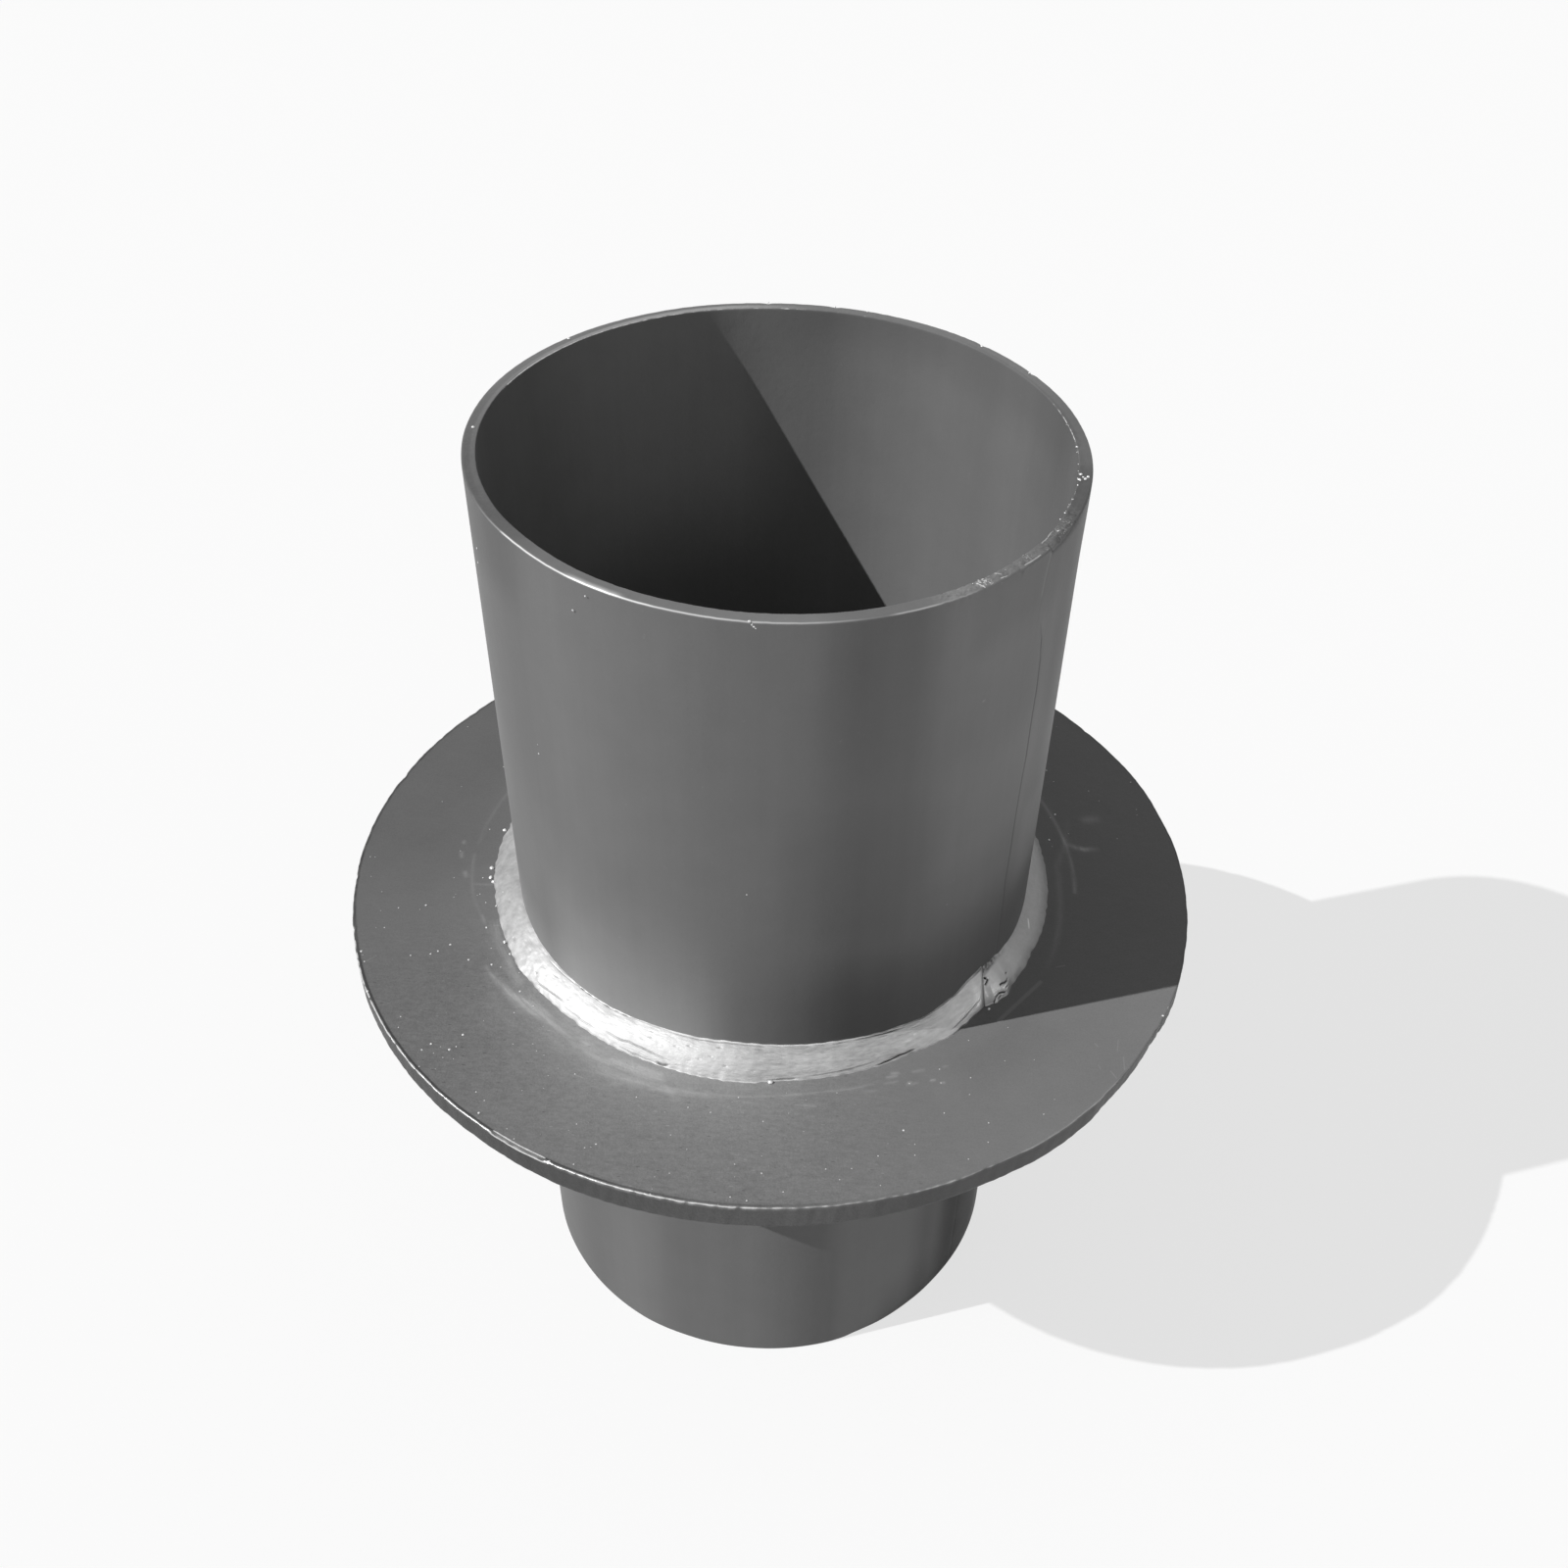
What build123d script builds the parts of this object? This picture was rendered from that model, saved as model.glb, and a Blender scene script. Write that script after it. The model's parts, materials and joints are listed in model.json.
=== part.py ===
from build123d import *
import os

# Puddle flange pipe: a straight steel pipe with a flat ring plate welded around it at mid-length.
# The pipe stands on its lower end. The frame has its origin at the centre of that end,
# +Z up along the pipe, and all lengths are in millimetres.

# Pipe, rolled and seam-welded, open from end to end
pipe_od = 219.1
pipe_wall = 5.0
pipe_length = 420.0
end_outer_round = 0.8
end_inner_round = 0.4

# Ring plate, flame-cut, which the concrete of the wall grips
flange_od = 360.0
flange_thickness = 10.0
flange_edge_round = 0.6
lower_spigot = 205.0  # length of pipe left free below the plate
slip_clearance = 0.75  # radial gap that lets the plate slide over the pipe

# Fillet weld, the same section on both sides of the plate
weld_leg_along_plate = 11.0
weld_leg_along_pipe = 9.0
weld_crown = 0.8

# Lap where the end of the upper bead runs over its start, a lump that stands a little proud
lap_azimuth = -40.0
lap_arc = 6.0
lap_radius = 7.0
lap_rise = 1.2

pipe_radius = pipe_od / 2
bore_radius = pipe_radius - pipe_wall
plate_underside = lower_spigot
plate_top = lower_spigot + flange_thickness


def bead_section(plate_face, away):
    """Fillet section on a plate face: away is +1 for a bead above the plate and -1 for one below it."""
    root = (pipe_radius, plate_face)
    plate_toe = (pipe_radius + weld_leg_along_plate, plate_face)
    pipe_toe = (pipe_radius, plate_face + away * weld_leg_along_pipe)
    with BuildSketch(Plane.XZ) as section:
        with BuildLine():
            Line(root, plate_toe)
            SagittaArc(plate_toe, pipe_toe, -away * weld_crown)
            Line(pipe_toe, root)
        make_face()
    return section.sketch


with BuildPart() as pipe:
    with BuildSketch():
        Circle(pipe_radius)
        Circle(bore_radius, mode=Mode.SUBTRACT)
    extrude(amount=pipe_length)
    outer_rims = pipe.faces().filter_by(Plane.XY).edges().sort_by(SortBy.RADIUS)[-2:]
    fillet(outer_rims, end_outer_round)
    inner_rims = pipe.faces().filter_by(Plane.XY).edges().sort_by(SortBy.RADIUS)[:2]
    fillet(inner_rims, end_inner_round)
pipe.part.label = "pipe"

with BuildPart() as puddle_flange:
    with BuildSketch(Plane.XY.offset(plate_underside)):
        Circle(flange_od / 2)
        Circle(pipe_radius + slip_clearance, mode=Mode.SUBTRACT)
    extrude(amount=flange_thickness)
    plate_rims = puddle_flange.faces().filter_by(Plane.XY).edges().sort_by(SortBy.RADIUS)[-2:]
    fillet(plate_rims, flange_edge_round)
puddle_flange.part.label = "puddle_flange"

with BuildPart() as upper_weld:
    revolve(bead_section(plate_top, 1), axis=Axis.Z)

    # The lap is a short round-ended roll, sunk into the bead so that only its crest stands out.
    # Its middle is found in the bead's section, measured from the corner of pipe and plate.
    out_of_bead = Vector(weld_leg_along_pipe, weld_leg_along_plate).normalized()
    bead_face_middle = Vector(weld_leg_along_plate, weld_leg_along_pipe) / 2 + out_of_bead * weld_crown
    lap_middle = bead_face_middle + out_of_bead * (lap_rise - lap_radius)
    lap_ring_radius = pipe_radius + lap_middle.X
    lap_height = plate_top + lap_middle.Y
    lap_start = lap_azimuth - lap_arc / 2
    with BuildSketch(Plane.XZ.rotated((0, 0, lap_start))):
        with Locations((lap_ring_radius, lap_height)):
            Circle(lap_radius)
    revolve(axis=Axis.Z, revolution_arc=lap_arc)
    with PolarLocations(lap_ring_radius, 2, lap_start, lap_arc, endpoint=True):
        with Locations((0, 0, lap_height)):
            Sphere(lap_radius)
    split(bisect_by=Plane.XY.offset(plate_top), keep=Keep.TOP)
    with Locations((0, 0, plate_top)):
        Cylinder(pipe_radius, pipe_length, mode=Mode.SUBTRACT)
upper_weld.part.label = "upper_weld"

with BuildPart() as lower_weld:
    revolve(bead_section(plate_underside, -1), axis=Axis.Z)
lower_weld.part.label = "lower_weld"

os.makedirs("parts", exist_ok=True)
export_step(pipe.part, "parts/pipe.step")
export_step(puddle_flange.part, "parts/puddle_flange.step")
export_step(upper_weld.part, "parts/upper_weld.step")
export_step(lower_weld.part, "parts/lower_weld.step")
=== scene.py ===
# %% [markdown]
# # A puddle flange pipe, dressed in Blender
#
# The object is a short steel pipe that is cast into a concrete wall. A flat ring plate, the puddle
# flange, is welded around it at mid-length so that water can't creep along the pipe. Pipe and plate
# are grey with primer, and the weld between them is left bright.
#
# The solid model already gives every size, so nothing here is placed by eye. This first cell opens
# it.

# %% Open the solid model
import json
import math

import bmesh
import bpy
import numpy as np
from mathutils import Matrix, Vector, noise


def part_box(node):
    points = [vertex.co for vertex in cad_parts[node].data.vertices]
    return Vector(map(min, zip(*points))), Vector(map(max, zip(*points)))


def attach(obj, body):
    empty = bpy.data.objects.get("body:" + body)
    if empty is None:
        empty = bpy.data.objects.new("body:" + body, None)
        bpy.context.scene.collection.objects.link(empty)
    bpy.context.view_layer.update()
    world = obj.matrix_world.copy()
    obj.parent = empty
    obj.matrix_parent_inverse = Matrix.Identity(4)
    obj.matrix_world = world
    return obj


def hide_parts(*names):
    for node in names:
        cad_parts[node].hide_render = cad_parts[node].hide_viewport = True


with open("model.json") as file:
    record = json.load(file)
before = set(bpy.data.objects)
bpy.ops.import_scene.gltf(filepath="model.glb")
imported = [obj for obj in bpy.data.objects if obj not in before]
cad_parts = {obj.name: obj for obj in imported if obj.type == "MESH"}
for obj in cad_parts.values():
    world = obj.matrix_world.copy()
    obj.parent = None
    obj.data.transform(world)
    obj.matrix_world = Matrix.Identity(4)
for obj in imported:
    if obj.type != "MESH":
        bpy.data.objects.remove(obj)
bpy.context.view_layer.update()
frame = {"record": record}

# %% [markdown]
# A piece fits when its sizes are read from the model and not typed a second time. The four solids
# are rings around the Z axis, so a radius and two heights say where each one is. Metres are awkward
# for details of a tenth of a millimetre. All shaping below is in millimetres, and turns into metres
# only when a mesh is made.

# %% Read the sizes
MM = 0.001


def ring_size(node):
    """Outer radius, lowest and highest point of a solid, in mm."""
    low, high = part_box(node)
    return high.x / MM, low.z / MM, high.z / MM


pipe_radius, _, pipe_top = ring_size("pipe")
plate_radius, plate_under, plate_face = ring_size("puddle_flange")
lower_toe_radius, lower_weld_foot, _ = ring_size("lower_weld")
bore_radius = next(m["dims"]["r_mm"] for m in frame["record"]["mounts"] if m["name"] == "bore")
print("pipe", round(pipe_radius, 2), "bore", round(bore_radius, 2), "tall", round(pipe_top, 2))
print("plate", round(plate_radius, 2), "from", round(plate_under, 2), "to", round(plate_face, 2))

# %% [markdown]
# ## Camera
#
# The photograph looks down into the pipe at about 45 degrees from 0.7 m away, held slightly askew. A
# camera could be aimed with a constraint and nudged until it looks right. The rim and the plate's
# edge are circles, though, so the lens, place and tilt follow from the ellipses that they make, and
# those solved numbers are simply written down.

# %% Camera
lens = bpy.data.cameras.new("camera")
lens.sensor_width = 36.0
lens.lens = 38.03
lens.shift_x, lens.shift_y = -0.0496, 0.0953
lens.clip_start, lens.clip_end = 0.01, 50.0
camera = bpy.data.objects.new("camera", lens)
bpy.context.scene.collection.objects.link(camera)
bpy.context.scene.camera = camera

look_down, askew = 45.285, 3.621
camera.matrix_world = (
    Matrix.Translation((0.03954, -0.52956, 0.71274))
    @ Matrix.Rotation(math.radians(90 - look_down), 4, "X")
    @ Matrix.Rotation(math.radians(askew), 4, "Z")
)
print("camera at", [round(v, 3) for v in camera.matrix_world.translation], "lens", lens.lens)

# %% [markdown]
# ## One class for shader maths
#
# Node trees are hard to read as code, because a sum of three masks is four calls that make nodes and
# links. Wrapping a socket in a small class and giving it Python's operators turns that into
# `a + b * c`. Each operator adds a Math node. The `node` method adds any other kind: it makes the
# node, then its settings, then the values or links of its sockets.

# %% A socket that can be added and multiplied
class Wire:
    """A shader socket for sums. Without a socket it is only the tree, the place to start from."""

    def __init__(self, tree, socket=None):
        self.tree, self.socket = tree, socket

    def node(self, kind, settings=None, sockets=None, output=0):
        made = self.tree.nodes.new(kind)
        for name, value in (settings or {}).items():
            setattr(made, name, value)
        for name, value in (sockets or {}).items():
            if isinstance(value, Wire):
                self.tree.links.new(value.socket, made.inputs[name])
            else:
                made.inputs[name].default_value = value
        return Wire(self.tree, made.outputs[output]) if made.outputs else None

    def output(self, name):
        """Another output of the same node."""
        return Wire(self.tree, self.socket.node.outputs[name])

    def maths(self, operation, *terms):
        return self.node("ShaderNodeMath", {"operation": operation}, dict(enumerate(terms)))

    def __add__(self, other):
        return self.maths("ADD", self, other)

    def __sub__(self, other):
        return self.maths("SUBTRACT", self, other)

    def __rsub__(self, other):
        return self.maths("SUBTRACT", other, self)

    def __mul__(self, other):
        return self.maths("MULTIPLY", self, other)

    def __truediv__(self, other):
        return self.maths("DIVIDE", self, other)

    def __pow__(self, other):
        return self.maths("POWER", self, other)

    def __abs__(self):
        return self.maths("ABSOLUTE", self)

    __radd__, __rmul__ = __add__, __mul__

    def most(self, other):
        return self.maths("MAXIMUM", self, other)

    def least(self, other):
        return self.maths("MINIMUM", self, other)

    def rise(self, low, high):
        """Goes smoothly from 0 at low to 1 at high, or back down where low is the larger."""
        ends = {"Value": self, "From Min": min(low, high), "From Max": max(low, high)}
        step = self.node("ShaderNodeMapRange", {"interpolation_type": "SMOOTHSTEP"}, ends)
        return step if low < high else 1 - step


print("Wire has", len([n for n in vars(Wire) if n.startswith("__")]), "special methods")

# %% [markdown]
# ## Light
#
# The photograph is lit from the left and a little to the front, 42 degrees up, which shows in two
# shadows: the rim throws one down the inside of the pipe, and the pipe throws one across the plate.
# Their edges stay crisp far from what throws them, so the lamp is a sun less than half a degree
# wide. It is chosen over a softbox close by because it lights the top and the foot alike.
#
# On the right the pipe takes a second light that comes back from bright ground. It grows upwards
# from the weld and never reaches the plate or the foot, so an even lamp would be wrong. A spot lamp
# far to the right is aimed over the plate, and the soft lower edge of its cone does the fading. A
# pale world fills the rest. The strengths are picked so that a face turned up to the light shows its
# own colour.

# %% Lamps
def hang(name, light, place, towards):
    """Puts a lamp at a place, shining along a direction."""
    holder = bpy.data.objects.new(name, light)
    holder.location = place
    holder.rotation_euler = towards.to_track_quat("-Z", "Y").to_euler()
    bpy.context.scene.collection.objects.link(holder)
    return holder


def seen_from(azimuth, elevation):
    """The direction towards something at those angles, in degrees."""
    turn, lift = math.radians(azimuth), math.radians(elevation)
    return Vector((math.cos(turn) * math.cos(lift), math.sin(turn) * math.cos(lift), math.sin(lift)))


sun = bpy.data.lights.new("key", "SUN")
sun.energy, sun.angle = 3.1, math.radians(0.4)
key = hang("key", sun, (0, 0, 2), -seen_from(199.5, 42.4))

ground_light = bpy.data.lights.new("fill", "SPOT")
ground_light.energy = 165.0
ground_light.spot_size, ground_light.spot_blend = math.radians(19.0), 0.37
ground_light.shadow_soft_size = 0.15
fill_place = seen_from(-8, 0) * 3.0 + Vector((0, 0, 0.2))
fill = hang("fill", ground_light, fill_place, Vector((0, 0, 0.73)) - fill_place)
print("lamps:", key.name, round(sun.energy, 2), "and", fill.name, round(ground_light.energy))

# %% [markdown]
# The background of the photograph is plain white. Lighting the object from a white world would wash
# it out, so the world tells rays apart with a Light Path node. What the camera sees, also by way of
# a reflection, is white, and what only lights the object is much dimmer. The floor uses the same
# trick. Seen, it is white paint with a glow of its own, so that it is nearly as white as the world
# and still takes the object's shadow. For light that bounces it is a duller ground.

# %% World and floor
AMBIENT = 0.23
FLOOR_GLOW = 0.7


def seen_rays(start):
    """1 for rays that end as something seen: straight, in a reflection or through glass."""
    path = start.node("ShaderNodeLightPath", output="Is Camera Ray")
    return path.most(path.output("Is Glossy Ray")).most(path.output("Is Transmission Ray"))


world = bpy.data.worlds.new("studio")
bpy.context.scene.world = world
world.use_nodes = True
sky = Wire(world.node_tree)
sky_strength = seen_rays(sky) * (1 - AMBIENT) + AMBIENT
backdrop = world.node_tree.nodes["Background"]
backdrop.inputs["Color"].default_value = (1, 1, 1, 1)
world.node_tree.links.new(sky_strength.socket, backdrop.inputs["Strength"])

floor_mesh = bpy.data.meshes.new("floor")
reach = 12.0
corners = [(-reach, -reach, 0), (reach, -reach, 0), (reach, reach, 0), (-reach, reach, 0)]
floor_mesh.from_pydata(corners, [], [(0, 1, 2, 3)])
floor = bpy.data.objects.new("floor", floor_mesh)
bpy.context.scene.collection.objects.link(floor)

pale = bpy.data.materials.new("pale floor")
pale.use_nodes = True
pale.node_tree.nodes.clear()
ground = Wire(pale.node_tree)
dull = ground.node("ShaderNodeBsdfDiffuse", sockets={"Color": (0.62, 0.62, 0.62, 1)})
white = ground.node("ShaderNodeBsdfDiffuse", sockets={"Color": (0.97, 0.97, 0.97, 1)})
glow = ground.node("ShaderNodeEmission", sockets={"Color": (1, 1, 1, 1), "Strength": 1.0})
seen = ground.node("ShaderNodeMixShader", sockets={0: FLOOR_GLOW, 1: white, 2: glow})
floor_look = ground.node("ShaderNodeMixShader", sockets={0: seen_rays(ground), 1: dull, 2: seen})
ground.node("ShaderNodeOutputMaterial", sockets={"Surface": floor_look})
floor_mesh.materials.append(pale)
bpy.context.scene.view_settings.view_transform = "Standard"
print("floor", 2 * reach, "m wide, ambient light", AMBIENT)

# %% [markdown]
# ## Shaping rings
#
# Everything on this object goes once round the same axis. A lathe, Blender's Spin or Screw, would
# turn one section into a ring, but then every angle is alike and no dent or lap can be anywhere. So
# each ring is built from its own section at every angle: a table of radius and height, row by row.
# Four neighbours in the table make a face, and the ring closes on itself both ways, so it is solid.

# %% From sections to a mesh
def ring_mesh(name, angles, radius, height, marks=None):
    """A closed ring from tables of radius and height in mm, one line for each angle in degrees.
    marks are further tables of the same size, kept on the mesh for the finish to read."""
    turn = np.radians(angles)[:, None]
    points = np.stack([radius * np.cos(turn), radius * np.sin(turn), height], axis=-1) * MM
    here = np.arange(radius.size).reshape(radius.shape)
    ahead = np.roll(here, -1, axis=0)
    quads = np.stack([here, ahead, np.roll(ahead, -1, axis=1), np.roll(here, -1, axis=1)], axis=-1)
    mesh = bpy.data.meshes.new(name)
    mesh.from_pydata(points.reshape(-1, 3).tolist(), [], quads.reshape(-1, 4).tolist())
    for mark, table in (marks or {}).items():
        layer = mesh.attributes.new(mark, "FLOAT", "POINT")
        layer.data.foreach_set("value", np.ascontiguousarray(table, np.float32).ravel())
    mesh.shade_smooth()
    piece = bpy.data.objects.new(name, mesh)
    bpy.context.scene.collection.objects.link(piece)
    print(name, "has", 2 * len(mesh.polygons), "triangles")
    return piece


def arc(centre, size, start, end, steps):
    """Radius and height along a round of that size, between two angles in degrees."""
    turn = np.radians(np.linspace(start, end, steps))
    return list(zip(centre[0] + size * np.cos(turn), centre[1] + size * np.sin(turn)))

# %% [markdown]
# Real edges wander. Plain random numbers would make a saw-tooth, and a wander drawn along a line
# would not meet itself after 360 degrees. A sum of whole waves around the ring, with phases drawn
# from a numbered seed, is smooth, closes up and is the same on each run. Single dents and worn
# stretches are smooth bumps at an angle, and crumbly texture is Perlin noise in space. Grooves and
# brush strokes are soft lines that run through a few places.

# %% Wander, dents and crumble
def wander(angles, seed, slowest, fastest, size):
    """A smooth wander of about that many mm, made of slowest to fastest waves a turn."""
    draw = np.random.default_rng(seed)
    waves = np.arange(slowest, fastest + 1)
    phase = draw.uniform(0, 2 * np.pi, len(waves))
    share = draw.normal(0, 1, len(waves))
    sums = np.cos(np.radians(angles)[:, None] * waves + phase) @ share
    return size * sums / math.sqrt(len(waves))


def off_by(angles, centre):
    """How far round each angle is from the centre, from -180 to 180 degrees."""
    return (np.asarray(angles) - centre + 180) % 360 - 180


def near(angles, centre, width):
    """1 at the centre, fading over that many degrees."""
    return np.exp(-(off_by(angles, centre) / width) ** 2)


def ease(share):
    """Smooth from 0 to 1, and held there beyond."""
    share = np.clip(share, 0, 1)
    return share * share * (3 - 2 * share)


def stretch(angles, start, end, soft):
    """1 from start to end, going round with rising angle, with soft ends of that many degrees."""
    half = ((end - start) % 360) / 2
    return ease((half - np.abs(off_by(angles, start + half))) / soft + 0.5)


def along(angles, table):
    """Reads a closed table of (angle, value) at each angle, smoothly."""
    known, value = np.array(sorted((a % 360, v) for a, v in table)).T
    known = np.concatenate([known - 360, known, known + 360])
    value = np.tile(value, 3)
    spot = np.asarray(angles) % 360
    step = np.searchsorted(known, spot, side="right") - 1
    share = ease((spot - known[step]) / (known[step + 1] - known[step]))
    return value[step] * (1 - share) + value[step + 1] * share


def trace(angles, place, mm, path, width, blunt=False):
    """1 along a path of (angle, place), down to 0 at both of its ends unless it is blunt. The width
    is in mm, and mm holds how long one degree and one step of place are."""
    mm = np.array(mm)
    stops = np.array(path, float)
    runs = np.diff(stops, axis=0) * mm
    lengths = np.linalg.norm(runs, axis=1)
    nearest, reached, walked = 99.0, 0.0, 0.0
    for (a0, p0), run, length in zip(stops, runs, lengths):
        offset = np.stack(np.broadcast_arrays(off_by(angles, a0) * mm[0], (place - p0) * mm[1]), axis=-1)
        share = np.clip(offset @ run / length ** 2, 0, 1)
        away = np.linalg.norm(offset - share[..., None] * run, axis=-1)
        reached = np.where(away < nearest, (walked + share * length) / lengths.sum(), reached)
        nearest = np.minimum(away, nearest)
        walked += length
    ends = 1 if blunt else np.sqrt(np.clip(4 * reached * (1 - reached), 0, 1))
    return ends * np.exp(-(nearest / width) ** 2)


def crumble(angles, radius, height, size, seed, detail=2):
    """Perlin noise, from about -1 to 1, in lumps of that many mm."""
    turn = np.radians(angles)[:, None]
    points = np.stack(np.broadcast_arrays(radius * np.cos(turn), radius * np.sin(turn), height), axis=-1)
    shift = np.array([17.3, -9.1, 5.7]) * seed
    flat = (points / size + shift).reshape(-1, 3)
    lumps = [noise.fractal(Vector(p), 1.0, 2.0, detail) for p in flat]
    return np.array(lumps).reshape(points.shape[:-1])


print("wander at four angles:", np.round(wander(np.array([0, 90, 180, 270]), 1, 2, 9, 0.25), 3))

# %% [markdown]
# ## Pipe
#
# The pipe is rolled steel, 219 mm across with a 5 mm wall, cut square and deburred. Most of it is
# smooth, so it needs few rows of points along its length and many around the two cut ends. Around
# the ring the points are a sixth of a degree apart from the front to the right, where the photograph
# shows a torn stretch of rim and the long seam, and up to a degree apart elsewhere.

# %% The pipe's plain section
outer_round, inner_round = 0.8, 0.4
pipe_angles = np.concatenate([np.arange(-60, -4, 0.16), np.arange(-4, 16, 0.4), np.arange(16, 300, 0.9)])
up_outside = [1.6, 3, 6, 12, 25, 45, 70, 95, 120, 145, 170, 190, 200, 212, 222, 226, 230, 236, 244, 255, 268,
              282, 298, 314, 330, 345, 360, 372, 382, 390, 396, 401, 405, 409, 412, 414.5, 416.5, 418, 418.8]
down_inside = [419, 418, 416, 413, 409, 404, 396, 386, 372, 355, 335, 310, 280, 250, 225, 205, 185, 160,
               130, 100, 70, 45, 25, 12, 5, 2, 1]
face_out, face_in = pipe_radius - outer_round, bore_radius + inner_round
section = [(pipe_radius, z) for z in up_outside]
section += arc((face_out, pipe_top - outer_round), outer_round, 0, 90, 12)
section += [(r, pipe_top) for r in np.linspace(face_out, face_in, 15)[1:-1]]
section += arc((face_in, pipe_top - inner_round), inner_round, 90, 180, 5)
section += [(bore_radius, z) for z in down_inside]
section += arc((face_in, inner_round), inner_round, 180, 270, 4)
section += [(r, 0) for r in np.linspace(face_in, face_out, 6)[1:-1]]
section += arc((face_out, outer_round), outer_round, -90, 0, 5)
pipe_section = np.array(section)
pipe_r = np.tile(pipe_section[:, 0], (len(pipe_angles), 1))
pipe_z = np.tile(pipe_section[:, 1], (len(pipe_angles), 1))
print("pipe section:", pipe_r.shape[1], "points at", pipe_r.shape[0], "angles")

# %% [markdown]
# The rim has had a hard life. From the seam round to the front right it is torn and ground back,
# with pits and a chipped outer edge. One short piece of it is still sound and stands out as a ledge,
# there is a notch where the seam comes up, and right of that the edge is rounded off. A burr is left
# along the inner edge on the right, and there are two small nicks at the front. All of this is done
# by moving the section's points, so that it also shows in the outline. The long seam is a fine
# groove in a strip that was scraped flat. It wavers, fades above 385 mm and comes back as a scratch
# that leans to the notch, so its path is a table of height and angle.

# %% Damage at the rim, and the seam
on_top = np.clip((pipe_z - 417.5) / 2.5, 0, 1)
outer_side = np.clip((pipe_r - 107.2) / 2.2, 0, 1) * on_top
inner_side = np.clip((106.4 - pipe_r) / 1.6, 0, 1) * on_top

torn = stretch(pipe_angles, -58, -17, 6)[:, None]
ledge = stretch(pipe_angles, -40.2, -31.7, 0.5)[:, None]
broken_off = np.interp(pipe_angles, [-33, -31.9, -31.2, -26.5, -21.5, -15, -9],
                       [0, 0, 1.7, 1.5, 0.9, 0.4, 0])[:, None]
pit = near(pipe_angles, -29.4, 0.9)[:, None]
knob = near(pipe_angles, -39.3, 0.55)[:, None] * np.clip((pipe_r - 104.9) / 0.5, 0, 1)
knob = knob * np.clip((108.2 - pipe_r) / 0.8, 0, 1)
lumps = crumble(pipe_angles, pipe_r, pipe_z, size=2.6, seed=1)
crumbs = crumble(pipe_angles, pipe_r, pipe_z, size=0.9, seed=2, detail=1)
rim_drop = torn * (0.16 + 0.34 * np.clip(lumps, 0, 1) + 0.13 * crumbs) * (1 - 0.8 * ledge)
chips = crumble(pipe_angles, pipe_radius, pipe_top, size=1.7, seed=3)[:, :1]
rim_bite = torn * (0.30 + 0.5 * np.clip(chips, 0, 1)) * (1 - 1.3 * ledge)
nick_angles = (-90.3, 49, 35, 97, 83)
nicks = sum(near(pipe_angles, spot, 0.7) for spot in nick_angles)[:, None]
burr = stretch(pipe_angles, -21, 14, 3) * (0.5 + 0.5 * wander(pipe_angles, 4, 60, 160, 1.0))
burr = np.clip(burr, 0, 1)[:, None]
rim_wave = wander(pipe_angles, 5, 2, 7, 0.10)[:, None]
saw = wander(pipe_angles, 6, 70, 170, 0.035)[:, None]

pipe_z += on_top * (rim_wave + saw + knob * 0.8) - on_top * rim_drop
pipe_z -= outer_side * (nicks * 0.35 + broken_off) + (on_top - outer_side) * pit * 0.5
pipe_z += inner_side * burr * 0.30
pipe_r -= outer_side * (rim_bite + nicks * 0.30 + broken_off * 0.3)
pipe_r += inner_side * torn * np.clip(crumbs, 0, 1) * 0.35 - inner_side * burr * 0.18

seam_path = np.array([
    (0, -30.0), (257, -30.1), (271, -30.6), (283, -30.1), (290, -29.9), (301, -30.2), (312, -30.0),
    (318, -29.4), (328, -29.2), (340, -29.4), (350, -29.2), (360, -29.0), (368, -29.1), (376, -29.6),
    (384, -30.3), (392, -32.0), (397, -33.5), (401, -32.8), (408, -32.6), (415, -32.0), (420, -31.3)])
from_seam = off_by(pipe_angles[:, None], np.interp(pipe_z, seam_path[:, 0], seam_path[:, 1]))
wall_outside = (pipe_r > 107) & (pipe_z > 1) & (pipe_z < 419)
wall_inside = (pipe_r < 105.2) & (pipe_z > 1) & (pipe_z < 419)
seam_depth = np.interp(pipe_z, [0, 250, 275, 375, 388, 420], [0.10, 0.10, 0.16, 0.16, 0.05, 0.08])
groove = seam_depth * np.exp(-(from_seam / 0.22) ** 2)
scraped_strip = 0.05 * np.exp(-(from_seam / 1.2) ** 2)
inner_ridge = 0.45 * (0.75 + 0.25 * np.sin(pipe_z * 1.7)) * np.exp(-(from_seam / 0.8) ** 2)
pipe_r -= wall_outside * (groove + scraped_strip)
pipe_r -= wall_inside * inner_ridge
print("seam leans from", seam_path[:, 1].min(), "to", seam_path[:, 1].max(), "degrees")

# %% [markdown]
# Rolled pipe is never quite round. At the rim the wall leaves the circle by up to a millimetre and
# at the foot by up to two, and the foot was cut a little short at the front right. Tables by angle
# hold how far. The wall eases back to the true circle before it meets the plate.

# %% Out of round
top_out = along(pipe_angles, [
    (-180, 0.4), (-165, 0.0), (-150, -0.3), (-135, -0.9), (-120, -0.6), (-105, -0.4), (-90, 0.1),
    (-70, 0.3), (-50, 0.4), (-10, 0.4), (10, 0.6), (25, 0.9), (50, 0.7), (75, 0.4), (100, -0.3),
    (118, 0.0), (140, 0.5), (165, 0.6)])[:, None]
foot_out = along(pipe_angles, [
    (-180, 1.2), (-150, 1.9), (-120, 1.9), (-105, 1.2), (-88, 1.0), (-72, 0.9), (-60, 0.1),
    (-45, -0.6), (-35, -0.9), (-20, -0.8), (0, -0.5), (60, 0.0), (130, 0.6)])[:, None]
pipe_r += top_out * ease((pipe_z - 385) / 34) + foot_out * ease((200 - pipe_z) / 80)
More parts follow.
